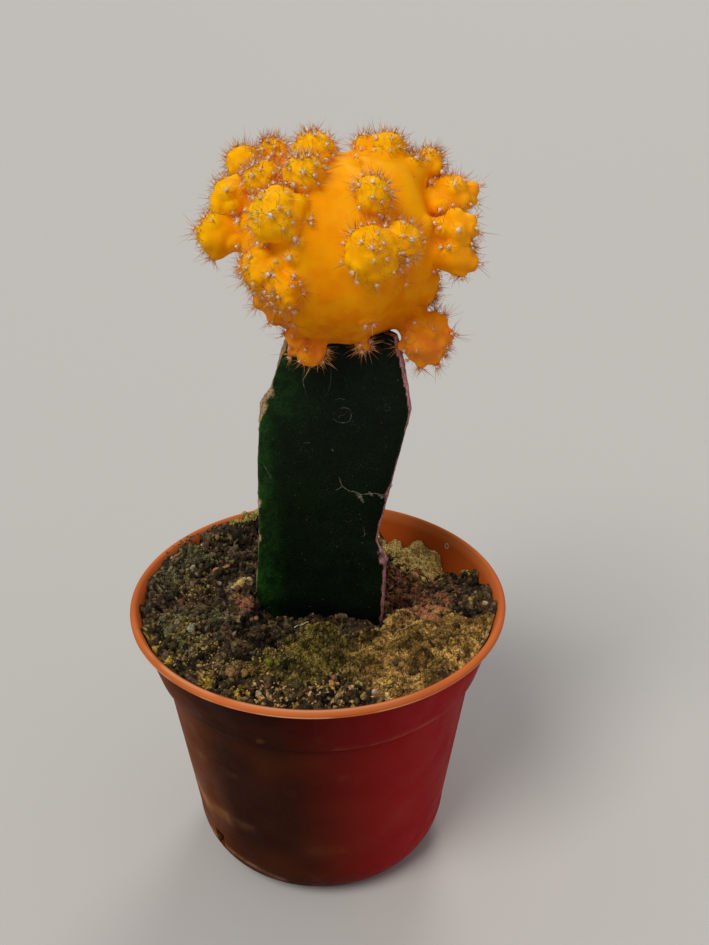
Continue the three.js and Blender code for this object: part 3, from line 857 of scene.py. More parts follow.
scarShape = {
    "sides": 6,
    "stepsEach": 6,  # rings for each listed point
    "smoothings": 5,
    "outward": (0.42, -0.9, 0.0),  # square to the front face
    "flatness": 0.5,
    "depth": 0.02,
    "darkColor": (0.028, 0.028, 0.018),
    "lightColor": (0.15, 0.13, 0.095),
    "browns": ((0.7, 4, 0.65), 0.35, 0.68, 0, 1),
    "relief": (0.06, 0.25, 3),
}


# Depth of the front face at places along it and heights, from the stem's own outline
def frontFace(across, heights):
    outlines = stemOutlines(heights)
    depth = []
    for x, outline in zip(across, outlines):
        left, right = outline[:, 0].argmin(), outline[:, 0].argmax()
        front = np.roll(outline, -left, 0)[:(right - left) % len(outline) + 1]
        depth.append(np.interp(x, front[:, 0], front[:, 1]))
    return np.array(depth)


# A flat worm along a path, sunk halfway into the skin: rings
# whose width is a draw times (sin t)^0.6 along it
def wormAlong(path, width, seed):
    steps = np.linspace(0, len(path) - 1, scarShape["stepsEach"] * len(path))
    line = np.stack([np.interp(steps, np.arange(len(path)), path[:, axis]) for axis in range(3)], -1)
    for _ in range(scarShape["smoothings"]):
        line[1:-1] = (line[:-2] + line[1:-1] + line[2:]) / 3
    ahead = unit(np.gradient(line, axis=0))
    outward = np.array(scarShape["outward"])
    aside = unit(np.cross(ahead, outward))
    draws = np.random.default_rng(seed).uniform(0.35, 1.45, len(line))
    size = width * draws * np.sin(np.linspace(0.12, np.pi - 0.12, len(line))) ** 0.6
    angle = np.arange(scarShape["sides"]) / scarShape["sides"] * turn
    ring = roundAxis(angle, aside, scarShape["flatness"] * unit(outward))
    return closedGrid(line[:, None] - ring * size[:, None, None])


# The scars: one worm along each line, laid on the front face
def makeScars(material):
    parts = []
    for seed, (width, line) in enumerate(scars.values(), 40):
        across, height = np.array(line, float).T
        depth = frontFace(across, height) - scarShape["depth"]
        parts.append(wormAlong(np.stack([across, depth, height], -1), width, seed))
    piece = meshObject("rootstock_scars", *joined(parts))
    finishPiece(piece, material)


# Dry cork: two browns mixed by noise, with a fine relief
def corkMaterial():
    material = newMaterial("dry cork", Roughness=0.85)
    place = placeInMillimetres(material)
    share = carriedNoise(material, place, scarShape["browns"])
    color = mixColors(material, share, scarShape["darkColor"], scarShape["lightColor"])
    return connect(material, Base_Color=color, Normal=reliefOf(material, place, scarShape["relief"]))


# The soil: places are how far right and how far back of the pot's axis
soil = {
    "gap": 0.12,
    "stemEdge": 0.4,  # how far crumbs and moss keep from the stem
    "level": 66.6,
    "bank": 2.6,
    "bankRadius": 41,
    "brimLimit": 70.6,
    "edgeDepth": 0.5,
    "columns": 740,
    "topRows": 113,
    "wallHeights": (57, 58.5),  # the rings are the pot's own below the first, and the last is at the second
    "holeHeights": (60.0, 48.0),
    "earthHeights": (58, 63),  # plain earth below, the finished colours above
    # Hills and hollows: place, height and width
    "hills": [(-26, 12, 2.6, 15), (-22, 33, 2.2, 11), (26, -22, 1.3, 10), (33, 20, -5.5, 9),
              (22, 36, -6, 13), (3, -14, -1.2, 9), (24, 27, 2.4, 6), (-22, 26, -2.6, 4), (-17, 4, 1.6, 4),
              (-11, -7, -2, 4.5), (0, -9, 1.4, 3.5), (36, 13, 1.6, 4), (-9, 0.5, -4, 5), (-4, -2, -1.2, 4)],
    "crossWave": (0.75, 0.52, 0.9, 0.61, -0.4),  # height, then pace and start along x and along y
    "slantWave": (0.5, 0.83, -0.5, 2),  # height, pace along x and along y, start
    # Crumbs from big to small: size, seed, height for each
    # millimetre of size, and how far moss flattens them
    "layers": [(5.2, 61, 0.46, 0.75), (2.1, 62, 0.5, 0.5), (0.8, 63, 0.5, 0)],
    "sink": 2.2,
    "mossRise": 0.9,
    "grain": (2.6, 1.6),  # size and height of the fine relief
    "cushions": (4, 0.9),  # size and height of the moss's own relief
    # Regions: the seed of their frayed edges, and their spots as place and width
    "regions": {
        "moss": (71, [(0, -11, 5), (-2, -16, 6), (-4, -23, 7), (-12, -24, 4), (6, -18, 5), (13, -14, 5),
                      (18, -21, 12), (29, -17, 11), (21, -8, 5), (20, -31, 8), (38, -12, 6)]),
        "greyMoss": (72, [(-33, -10, 4), (-30, -16, 4), (-32, 18, 5), (-37, 8, 4), (-24, -6, 3)]),
        "brown": (73, [(20, 6, 7), (27, 2, 7), (22, 13, 6), (-18, -1, 2.8)]),
        "grit": (74, [(-10, -36, 8), (5, -36, 8), (16, -35, 6), (-25, -28, 5)]),
        "yellow": (75, [(31, -17, 1.2), (29, -21, 1.2), (16, -35, 1.2), (-4, -40, 1.3), (-33, -24, 1.6),
                        (-36, -20, 1.6), (-39, -15, 1.3), (-23, -33, 2.4), (-16, -35, 2.4), (37, 13, 2.4),
                        (-20, 36, 2.6), (-12, 38, 2.4)]),
        # dark: painted shade in the soil's hollows
        "dark": (76, [(35, 18, 6), (-21, 27, 3), (-12, -15, 5), (-18, -22, 4), (-12, 18, 5), (12, -12, 3)]),
        "paleMoss": (78, [(26, 26, 7), (19, 31, 6), (12, 34, 4)]),
        "olive": (84, [(-27, -19, 7), (-19, -26, 7), (-32, -11, 5), (-24, -33, 5), (-9, -19, 5), (5, -30, 6),
                       (-30, 4, 6)]),
    },
    "earthColor": (0.028, 0.019, 0.011),
    "crumbColor": (0.125, 0.082, 0.042),
    "mossColors": ((0.046, 0.036, 0.008), (0.18, 0.13, 0.028)),
    "khakiColors": ((0.155, 0.085, 0.022), (0.43, 0.25, 0.071)),
    "khakiSide": (4, 16),  # how far right the moss turns khaki
    # Tints, one over the other: the colour, which draw sets its tone with the lowest tone and what is
    # added, which draw frays its edge with how far and between which shares, and its strength
    "tints": {
        "greyMoss": ((0.115, 0.11, 0.048), ("small", 0.5, 0.9), ("small", 0.9, 0.32, 0.62), 1),
        "paleMoss": ((0.98, 0.65, 0.215), ("small", 0.45, 0.8), ("small", 0.5, 0.2, 0.45), 1),
        "brown": ((0.3, 0.118, 0.056), ("all", 0.4, 1.0), ("middle", 0.7, 0.4, 0.7), 1),
        "grit": ((0.46, 0.29, 0.11), ("small", 0.35, 0.9), ("small", 1.3, 1.2, 1.4), 1),
        "yellow": ((0.5, 0.33, 0.045), ("small", 0.4, 0.9), ("small", 1.0, 0.75, 1.1), 0.7),
    },
    # How much the painted shade in the hollows darkens the soil
    "hollowShade": 0.7,
    "specular": 0.1,
    "grainNoise": ((0.45, 4, 0.7), 0.32, 0.7, 0.45, 1.6),
    "roughness": ((2, 3), 0.4, 0.6, 0.7, 0.98),
    "reliefs": [(0.22, 0.4, 4, 0.7)],
}


# A share from 0 to 1 near a region's spots: the largest of exp(-(d / width)²), frayed by noise
def region(name, x, y, seed=None):
    ownSeed, spots = soil["regions"][name]
    fray = 0.8 + 0.9 * (layeredNoise(np.stack([x, y], -1), 5, seed or ownSeed) - 0.5)
    share = 0
    for spot in spots:
        share = np.maximum(share, bellRound(x, y, *spot))
    return np.clip(share * fray * 1.35, 0, 1)


# Smooth height of the soil: a level, a bank against the
# wall, the hills and two waves, cut off below the brim
def soilHeight(x, y):
    height = soil["level"] + soil["bank"] * (np.hypot(x, y) / soil["bankRadius"]) ** 3
    for centreX, centreY, tall, width in soil["hills"]:
        height = height + tall * bellRound(x, y, centreX, centreY, width)
    tall, paceX, startX, paceY, startY = soil["crossWave"]
    height = height + tall * np.sin(paceX * x + startX) * np.cos(paceY * y + startY)
    tall, paceX, paceY, start = soil["slantWave"]
    height = height + tall * np.sin(paceX * x + paceY * y + start)
    return np.minimum(height, soil["brimLimit"])


# Round crumbs side by side: the highest of the caps √(r² - d²), one to a cell, and the draw of the crumb
# that a place is on; the cells are bent by noise, and each crumb lies off its cell's middle by its own draws
def crumbField(x, y, size, seed):
    place = np.stack([x, y], -1) / size
    bends = [smoothNoise(place, 1.3, seed + 5), smoothNoise(place, 1.3, seed + 6)]
    place = place + 0.5 * np.stack(bends, -1)
    home = np.floor(place)
    height, draw = np.zeros(x.shape), np.zeros(x.shape)
    for step in np.ndindex(3, 3):
        cell = home + np.array(step) - 1
        middle = cell + 0.15 + 0.7 * np.stack([cellDraw(cell, seed), cellDraw(cell, seed + 1)], -1)
        radius = 0.42 + 0.4 * cellDraw(cell, seed + 2)
        cap = np.sqrt(np.maximum(radius ** 2 - ((place - middle) ** 2).sum(-1), 0))
        draw = np.where(cap > height, cellDraw(cell, seed + 3), draw)
        height = np.maximum(height, cap)
    return size * height, draw


# Height and colour of the soil's finished surface: layers of crumbs on the smooth height, flatter under
# moss, with a fine relief and cushions; each crumb's tone, lighter on top and darker between crumbs as
# painted light and shade, then moss, tints and painted shade in the hollows
def soilSurface(x, y):
    flat = np.stack([x, y], -1)
    shares = {name: region(name, x, y) for name in ("moss", "dark", *soil["tints"])}
    mossy = np.clip(shares["moss"] + shares["greyMoss"] + shares["paleMoss"], 0, 1)
    fields = [crumbField(x, y, size, seed) for size, seed, _, _ in soil["layers"]]
    height = 0
    for (field, _), (_, _, scale, flattening) in zip(fields, soil["layers"]):
        height = height + scale * field * (1 - flattening * mossy)
    height = height - soil["sink"] + soil["mossRise"] * mossy
    size, tall = soil["grain"]
    height = height + tall * (layeredNoise(flat, size, 79, 4) - 0.5) * (1 - 0.4 * mossy)
    size, tall = soil["cushions"]
    height = height + tall * ease(mossy, 0.4, 0.9) * layeredNoise(flat, size, 77)

    (big, bigDraw), (middle, middleDraw), (small, smallDraw) = fields
    draw = 0.35 * middleDraw + 0.35 * smallDraw + 0.3 * bigDraw
    draws = {"small": smallDraw, "middle": middleDraw, "all": draw}
    colors = blendColors(soil["earthColor"], soil["crumbColor"], ease(draw, 0.25, 0.85) ** 1.6)
    # Painted light and shade: lighter on the crumbs' tops, darker between them
    colors = colors * (0.22 + 1.25 * ease(small + 0.5 * middle + 0.25 * big, 0.5, 2.2))[..., None]
    fray = 0.4 * (smallDraw - 0.5) + 0.4 * (layeredNoise(flat, 3, 80) - 0.5)
    colors = blendColors(colors, mossColors(flat, draw, small), ease(shares["moss"] + fray, 0.16, 0.36))
    for name, (color, tones, edges, strength) in soil["tints"].items():
        (toneBy, lowest, added), (edgeBy, reach, start, full) = tones, edges
        toned = np.asarray(color) * (lowest + added * draws[toneBy])[..., None]
        edge = ease(shares[name] + reach * (draws[edgeBy] - 0.5), start, full)
        colors = blendColors(colors, toned, strength * edge)
    # Painted shade in the hollows
    colors = colors * (1 - soil["hollowShade"] * ease(shares["dark"], 0.3, 0.9))[..., None]
    return soilHeight(x, y) + height, colors


# Colours of the moss: olive, and khaki at the right, lighter by the crumbs' draws, lighter on top of them as
# painted light, and by noise
def mossColors(flat, draw, small):
    light = ease(draw, 0.25, 0.75)
    olive, khaki = blendColors(*soil["mossColors"], light), blendColors(*soil["khakiColors"], light)
    colors = olive + (khaki - olive) * ease(flat[..., 0], *soil["khakiSide"])[..., None]
    # Painted light on the crumbs' tops, painted shade between them
    colors = colors * (0.42 + 0.8 * ease(small, 0.1, 0.5))[..., None]
    return colors * (0.4 + 0.85 * ease(layeredNoise(flat, 2.4, 81), 0.3, 0.62))[..., None]


# Radius of the pot's wall a little under the soil's surface
def wallRadius(x, y):
    return potInnerRadius(soilSurface(x, y)[0] - soil["edgeDepth"])


# Distance from the stem's middle to a circle round the pot's axis, along each angle
def reachToCircle(angles, radius):
    way = np.stack([np.cos(angles), np.sin(angles)], -1)
    along = way @ stemCentre
    return -along + np.sqrt(radius ** 2 - stemCentre @ stemCentre + along ** 2)


# The soil as one closed skin in polar rings about the stem: up the pot's wall, in over the top and down
# the stem's hole to its floor
def makeSoil(material):
    angles = np.linspace(-np.pi, np.pi, soil["columns"], endpoint=False)
    way = np.stack([np.cos(angles), np.sin(angles)], -1)
    lastOwn, lastHeight = soil["wallHeights"]
    wall = potInside()[:-1]
    wall = wall[wall[:, 1] < lastOwn]
    rings = []
    for radius, height in [*wall, (potInnerRadius(lastHeight), lastHeight)]:
        place = stemCentre + reachToCircle(angles, radius - soil["gap"])[:, None] * way
        rings.append(np.c_[place, np.full(len(angles), max(height, soilLow[2]))])
    inner = stemReach(angles, soil["level"]) + soil["gap"]
    outer = reachToCircle(angles, potInnerRadius(soil["level"]))
    for _ in range(3):  # the edge's height and the wall's radius depend on each other
        place = stemCentre + outer[:, None] * way
        outer = reachToCircle(angles, wallRadius(*place.T) - soil["gap"])
    for share in np.linspace(1, 0, soil["topRows"]):
        place = stemCentre + (inner + (outer - inner) * share)[:, None] * way
        height, _ = soilSurface(place[:, 0], place[:, 1])
        rings.append(np.c_[place, height])
    for height in (*soil["holeHeights"], stemBase - soil["gap"]):
        place = stemCentre + (stemReach(angles, max(height, stemBase)) + soil["gap"])[:, None] * way
        rings.append(np.c_[place, np.full(len(angles), height)])
    piece = meshObject("potting_mix_bed", *closedGrid(np.array(rings)))
    points = pointsOf(piece)
    _, colors = soilSurface(points[:, 0], points[:, 1])
    finished = ease(points[:, 2], *soil["earthHeights"])[:, None]
    tint(piece, colors * finished + np.asarray(soil["earthColor"]) * (1 - finished))
    finishPiece(piece, material, "soil")


# Potting mix: the tint times a coarse grain, rough, with the grain's relief
def soilMaterial():
    material = newMaterial("potting mix", Specular_IOR_Level=soil["specular"])
    place = placeInMillimetres(material)
    color = grained(material, place, tintOf(material), soil["grainNoise"])
    return finishMaterial(material, place, color, soil)


# Shapes (copies, points, 3), each turned at random: unit
# quaternions drawn evenly, written out as 3 by 3 arrays
def tumbled(rng, shapes):
    w, x, y, z = unit(rng.normal(size=(len(shapes), 4))).T
    rows = [[1 - 2 * (y * y + z * z), 2 * (x * y - w * z), 2 * (x * z + w * y)],
            [2 * (x * y + w * z), 1 - 2 * (x * x + z * z), 2 * (y * z - w * x)],
            [2 * (x * z - w * y), 2 * (y * z + w * x), 1 - 2 * (x * x + y * y)]]
    return np.einsum("nij,nkj->nki", np.moveaxis(np.array(rows), -1, 0), shapes)


# A small round of rings from pole to pole: radius sin t, height -cos t
def smallRound(columns, rows):
    angle = (np.arange(rows) + 1) / (rows + 1) * np.pi
    rings = turned(np.stack([np.sin(angle), -np.cos(angle)], -1), columns)
    points, triangles = closedGrid(rings)
    points[-2:] = ((0, 0, -1), (0, 0, 1))
    return points, triangles


# Places spread evenly over the soil between the stem and the pot's wall
def soilPlaces(rng, count, edge=1.0):
    radius = (potInnerRadius(soil["level"]) - edge) * np.sqrt(rng.random(4 * count))
    angle = turn * rng.random(4 * count)
    x, y = radius * np.cos(angle), radius * np.sin(angle)
    right, back = x - stemCentre[0], y - stemCentre[1]
    clear = np.hypot(right, back) > stemReach(np.arctan2(back, right), soil["level"]) + soil["stemEdge"]
    return x[clear][:count], y[clear][:count]


# Loose crumbs: the seed, how many, the smallest and the
# largest, their colour and the region that they keep to
crumbs = {
    "loose_crumbs": (81, 6500, 0.22, 1.15, None, None),
    "grit": (82, 210, 0.38, 0.85, (0.46, 0.29, 0.11), "grit"),
    "yellow_lichen": (83, 420, 0.25, 0.7, (0.5, 0.33, 0.045), "yellow"),
    "olive_crumbs": (84, 1300, 0.2, 0.62, (0.27, 0.19, 0.055), "olive"),
}
# The colours of crumbs that keep to no region, and the share of the crumbs that have each
crumbColors = [(0.012, 0.008, 0.006), (0.026, 0.017, 0.01), (0.07, 0.04, 0.021), (0.14, 0.055, 0.028),
               (0.15, 0.092, 0.04), (0.15, 0.12, 0.026), (0.19, 0.155, 0.09), (0.36, 0.215, 0.085),
               (0.55, 0.4, 0.21)]
crumbShares = [0.2, 0.17, 0.13, 0.05, 0.14, 0.14, 0.06, 0.07, 0.04]
crumbShape = {
    "tries": 14,  # places for each crumb of a region
    "inRegion": (0.35, 0.5),  # the least share of the region that keeps a crumb, and what a draw adds
    "offMoss": (0.93, 0.12, 0.36),  # share that thick moss takes away, and where it begins and is full
    "sides": (6, 3),
    "stretch": ((0.7, 0.5, 0.4), (1.35, 1.0, 0.8)),
    "dents": (0.66, 1.22),
    "rise": 0.25,  # of the middle above the surface, for each millimetre of size
    "tones": (0.35, 1.15),  # the darkest, and what a draw adds
    "gathering": (0.62, 0.5, -0.06),  # how the own draw and the big crumb's sum up to the order of colours
    "ownShare": 0.65,  # the rest of the colour is that of the surface
}


# Dented rounds that lie half sunk where the surface is, each in its own tone; those of no region are kept
# off the moss, and colours gather in them by the big crumbs underneath
def makeCrumbs(name, material):
    seed, count, smallest, largest, color, near = crumbs[name]
    rng = np.random.default_rng(seed)
    x, y = soilPlaces(rng, crumbShape["tries"] * count if near else count)
    if near:
        least, added = crumbShape["inRegion"]
        kept = region(near, x, y, seed) > least + added * rng.random(len(x))
    else:
        most, *edge = crumbShape["offMoss"]
        mossy = np.maximum(region("moss", x, y), region("paleMoss", x, y))
        kept = rng.random(len(x)) > most * ease(mossy, *edge)
    x, y = x[kept][:count], y[kept][:count]
    base, triangles = smallRound(*crumbShape["sides"])
    size = smallest + (largest - smallest) * rng.random(len(x)) ** 3
    inside = np.hypot(x, y) + 0.9 * size < wallRadius(x, y)
    x, y, size = x[inside], y[inside], size[inside]
    scale = size[:, None] * rng.uniform(*crumbShape["stretch"], (len(x), 3))
    dents = rng.uniform(*crumbShape["dents"], (len(x), len(base), 1))
    height, ground = soilSurface(x, y)
    centre = np.stack([x, y, height + crumbShape["rise"] * size], -1)
    points = tumbled(rng, base * dents * scale[:, None]) + centre[:, None]
    darkest, added = crumbShape["tones"]
    tone = darkest + added * rng.random((len(x), 1)) ** 1.3
    if near:
        own = np.asarray(color) * tone
    else:
        bigSize, bigSeed, _, _ = soil["layers"][0]
        clump = crumbField(x, y, bigSize, bigSeed)[1]
        byDraw, byClump, shift = crumbShape["gathering"]
        order = np.clip(byDraw * rng.random(len(x)) + byClump * clump + shift, 0, 0.999)
        pick = np.searchsorted(np.cumsum(crumbShares), order)
        # Painted shade where the soil's hollows are
        shade = 1 - 0.65 * ease(region("dark", x, y), 0.3, 0.9)[:, None]
        ownShare = crumbShape["ownShare"]
        own = ((1 - ownShare) * ground + ownShare * np.array(crumbColors)[pick]) * tone * shade
    piece = meshObject(name, *copiesOf(points, triangles))
    tint(piece, np.repeat(own, len(base), 0))
    finishPiece(piece, material)


# Single stones and bits on the soil: how far right and how far back each lies, its size and its colour
stones = [(-19.3, 4.2, 1.3, (0.46, 0.3, 0.09)), (-17.4, 7, 1.2, (0.44, 0.34, 0.17)),
          (-20.5, 3.6, 0.8, (0.4, 0.26, 0.09)), (-25, 7.4, 0.9, (0.34, 0.27, 0.18)),
          (-32, 12, 0.75, (0.36, 0.33, 0.26)), (-12, -34, 0.95, (0.46, 0.37, 0.24)),
          (-11, -38, 0.8, (0.46, 0.25, 0.06)), (3.6, -32, 1.1, (0.42, 0.2, 0.06)),
          (-1, -32.5, 0.9, (0.34, 0.22, 0.1)), (4.2, -28.8, 0.8, (0.34, 0.13, 0.08)),
          (13, -34, 0.8, (0.44, 0.3, 0.24)), (16.4, -32.1, 0.75, (0.55, 0.38, 0.05)),
          (24.3, 13.7, 0.9, (0.48, 0.25, 0.1)), (28.8, 18.3, 1.1, (0.46, 0.26, 0.14)),
          (36, 13, 0.7, (0.5, 0.22, 0.1)), (40.4, -1.5, 1.0, (0.46, 0.3, 0.17)),
          (-29.6, -12.4, 1.3, (0.2, 0.22, 0.13)), (-33, -10, 0.9, (0.22, 0.21, 0.11)),
          (-17, -2, 0.9, (0.16, 0.06, 0.06)), (-15, -4, 0.7, (0.3, 0.13, 0.09)),
          (-18.6, -27.6, 1.5, (0.24, 0.14, 0.055)), (-15.8, -27.2, 1.3, (0.28, 0.165, 0.06)),
          (-10.5, -22.6, 1.1, (0.13, 0.13, 0.012)), (-8.4, -24, 0.8, (0.12, 0.115, 0.015))]
# Crumbs lying on the rim: azimuths from the front, radii,
# height, how many, their sizes and their two colours
rimCrumbs = [(-131, -112, 42.4, 44.2, 70.7, 30, 0.16, 0.5, (0.13, 0.09, 0.05), (0.28, 0.2, 0.11)),
             (-139, -133, 42.2, 43.6, 70.7, 10, 0.16, 0.4, (0.12, 0.09, 0.05), (0.24, 0.17, 0.09)),
             (-158, -150, 39.6, 43.9, 70.6, 70, 0.3, 0.95, (0.13, 0.11, 0.03), (0.4, 0.31, 0.08)),
             (-150, -143, 40.6, 43.2, 70.5, 34, 0.25, 0.8, (0.12, 0.1, 0.03), (0.36, 0.27, 0.07)),
             (62, 70, 42.0, 43.0, 70.5, 8, 0.2, 0.5, (0.24, 0.17, 0.08), (0.4, 0.3, 0.14))]


stoneShape = {
    "seed": 29,
    "sides": (12, 7),
    "stretch": ((0.85, 0.7, 0.6), (1.2, 1.0, 0.85)),
    "dents": (0.8, 0.4),  # the least radius, and what noise adds
    "rise": 0.3,  # of the middle above the surface, for each millimetre of size
    "rimRise": (-0.2, 0.5),
    "tones": (0.7, 0.6),  # the darkest, and what noise adds
}


# Stones: rounds with more faces than the crumbs, each direction's radius times noise from 0.8 to 1.2
def makeStones(material):
    rng = np.random.default_rng(stoneShape["seed"])
    base, triangles = smallRound(*stoneShape["sides"])
    rows = [(x, y, None, size, color) for x, y, size, color in stones]
    for start, end, near, far, level, count, smallest, largest, dark, light in rimCrumbs:
        azimuth, radius = np.radians(rng.uniform(start, end, count)), rng.uniform(near, far, count)
        size = smallest + (largest - smallest) * rng.random(count) ** 2
        level = level + rng.uniform(*stoneShape["rimRise"], count) * size
        color = blendColors(dark, light, rng.random(count))
        rows += zip(radius * np.sin(azimuth), -radius * np.cos(azimuth), level, size, color)
    x, y, level, size = np.array([row[:4] for row in rows], float).T
    ground = soilSurface(x, y)[0] + stoneShape["rise"] * size
    centre = np.stack([x, y, np.where(np.isnan(level), ground, level)], -1)
    scale = size[:, None] * rng.uniform(*stoneShape["stretch"], (len(x), 3))
    least, added = stoneShape["dents"]
    ownNoise = 9 * np.arange(len(x))[:, None, None]
    dents = least + added * layeredNoise(base[None] + ownNoise, 0.9, 19)[..., None]
    points = tumbled(rng, base * dents * scale[:, None]) + centre[:, None]
    piece = meshObject("stones", *copiesOf(points, triangles))
    darkest, added = stoneShape["tones"]
    tone = darkest + added * layeredNoise(points.reshape(-1, 3), 0.6, 23)
    tint(piece, np.repeat([row[4] for row in rows], len(base), 0) * tone[:, None])
    finishPiece(piece, material)


moss = {
    "seed": 91,
    "places": 110000,
    "shoots": 36000,
    "greyPart": 0.8,  # how much the grey moss counts
    "edge": (0.16, 0.4),  # the least share of moss that a shoot grows in, and what a draw adds to it
    "wallGap": 0.5,
    "lean": 0.7,
    "lengths": (0.25, 0.3),  # where there is little moss, and what its share adds
    "thickness": 0.17,
    "depth": 0.1,  # of the foot in the soil
    "tones": (0.4, 1.9),
    "hues": ((0.9, 0.95, 0.7), (1.1, 1.05, 1.2)),
    # Painted shade at the foot of each shoot and painted light at its tip
    "shades": (0.7, 0.7, 0.7, 1.35),  # three corners of the foot, and the tip
}


# Moss shoots: slim blades, longest where the moss is thick, leaning every way
def makeMoss(material):
    rng = np.random.default_rng(moss["seed"])
    x, y = soilPlaces(rng, moss["places"], 0.6)
    share = np.maximum(region("moss", x, y), moss["greyPart"] * region("greyMoss", x, y))
    share = np.maximum(share, region("paleMoss", x, y))
    least, added = moss["edge"]
    kept = share > least + added * rng.random(len(x))
    kept &= np.hypot(x, y) + moss["wallGap"] < wallRadius(x, y)
    kept = np.flatnonzero(kept)[:moss["shoots"]]
    x, y, share = x[kept], y[kept], share[kept]
    count = len(x)
    height, ground = soilSurface(x, y)
    foot = np.stack([x, y, height - moss["depth"]], -1)
    sideways, back = rng.normal(0, moss["lean"], count), rng.normal(0, moss["lean"], count)
    lean = unit(np.stack([sideways, back, np.ones(count)], -1))
    shortest, added = moss["lengths"]
    long = (shortest + added * share) * rng.uniform(0.5, 1.3, count)
    ring = roundAxis(rng.random((count, 1)) * turn + bladeAngles, *squareTo(lean))
    base = foot[:, None] + ring * (moss["thickness"] * rng.uniform(0.6, 1.4, (count, 1, 1)))
    points = np.concatenate([base, (foot + lean * long[:, None])[:, None]], 1)
    piece = meshObject("moss_shoots", *copiesOf(points, bladeTriangles))
    tone = rng.uniform(*moss["tones"], (count, 1)) * rng.uniform(*moss["hues"], (count, 3))
    # Each shoot: painted shade at its foot, painted light at its tip
    tint(piece, np.repeat(ground * tone, 4, 0) * np.tile(moss["shades"], count)[:, None])
    finishPiece(piece, material)


# Twigs and fibres on the soil: where each starts, which way it lies, its length, thickness and colour
twigs = {
    "tan twig": ((-27, 12), 25, 4.2, 0.45, (0.42, 0.2, 0.08)),
    "dark twig": ((26.5, -21), 108, 3.2, 0.35, (0.03, 0.022, 0.015)),
    "pale fibre": ((-5.6, -7.6), 8, 3.4, 0.13, (0.55, 0.47, 0.38)),
    "brown twig": ((-30, -3), 160, 3.6, 0.32, (0.12, 0.06, 0.03)),
    "bark strip": ((13, 27), 200, 5.2, 0.5, (0.1, 0.05, 0.028)),
    "thin root": ((18, -12), 35, 6.0, 0.14, (0.3, 0.2, 0.11)),
    "short twig": ((-14, -27), 70, 3.0, 0.3, (0.16, 0.09, 0.04)),
    "back twig": ((-6, 31), 20, 6.0, 0.4, (0.09, 0.05, 0.03)),
}
twigShape = {
    "seed": 17,
    "points": 12,
    "sides": 7,
    "bend": 0.09,  # sideways, for each millimetre of length
    "lift": 0.4,
    "wave": (0.25, 9),  # height, and radians from end to end
    "thickness": (0.8, 1.15),
    "tones": (0.7, 1.2),
}


# Twigs: bent rods p = start + way·l·s + aside·b·l·sin(k·s),
# which lie in a wave over the soil from end to end
def makeTwigs(material):
    rng = np.random.default_rng(twigShape["seed"])
    steps = np.linspace(0, 1, twigShape["points"])
    angles = np.arange(twigShape["sides"]) / twigShape["sides"] * turn
    tall, pace = twigShape["wave"]
    parts, colors = [], []
    for (x, y), azimuth, long, thick, color in twigs.values():
        way = np.array([np.cos(np.radians(azimuth)), np.sin(np.radians(azimuth))])
        bend = twigShape["bend"] * long * np.sin(steps * np.pi * rng.uniform(0.8, 1.6))
        flat = np.array([x, y]) + steps[:, None] * long * way + bend[:, None] * (-way[1], way[0])
        height = soilSurface(flat[:, 0], flat[:, 1])[0]
        high = np.linspace(height[0], height[-1], len(steps)) + twigShape["lift"]
        high = high + tall * np.sin(steps * pace)
        line = np.c_[flat, np.maximum(high, height + 0.3 * thick)]
        ring = roundAxis(angles, *squareTo(unit(np.gradient(line, axis=0))))
        size = thick * rng.uniform(*twigShape["thickness"], (len(steps), 1, 1))
        made = closedGrid(line[:, None] + ring * size)
        parts.append(made)
        colors.append(np.array(color) * rng.uniform(*twigShape["tones"], (len(made[0]), 1)))
    piece = meshObject("twigs_and_fibres", *joined(parts))
    tint(piece, np.concatenate(colors))
    finishPiece(piece, material)


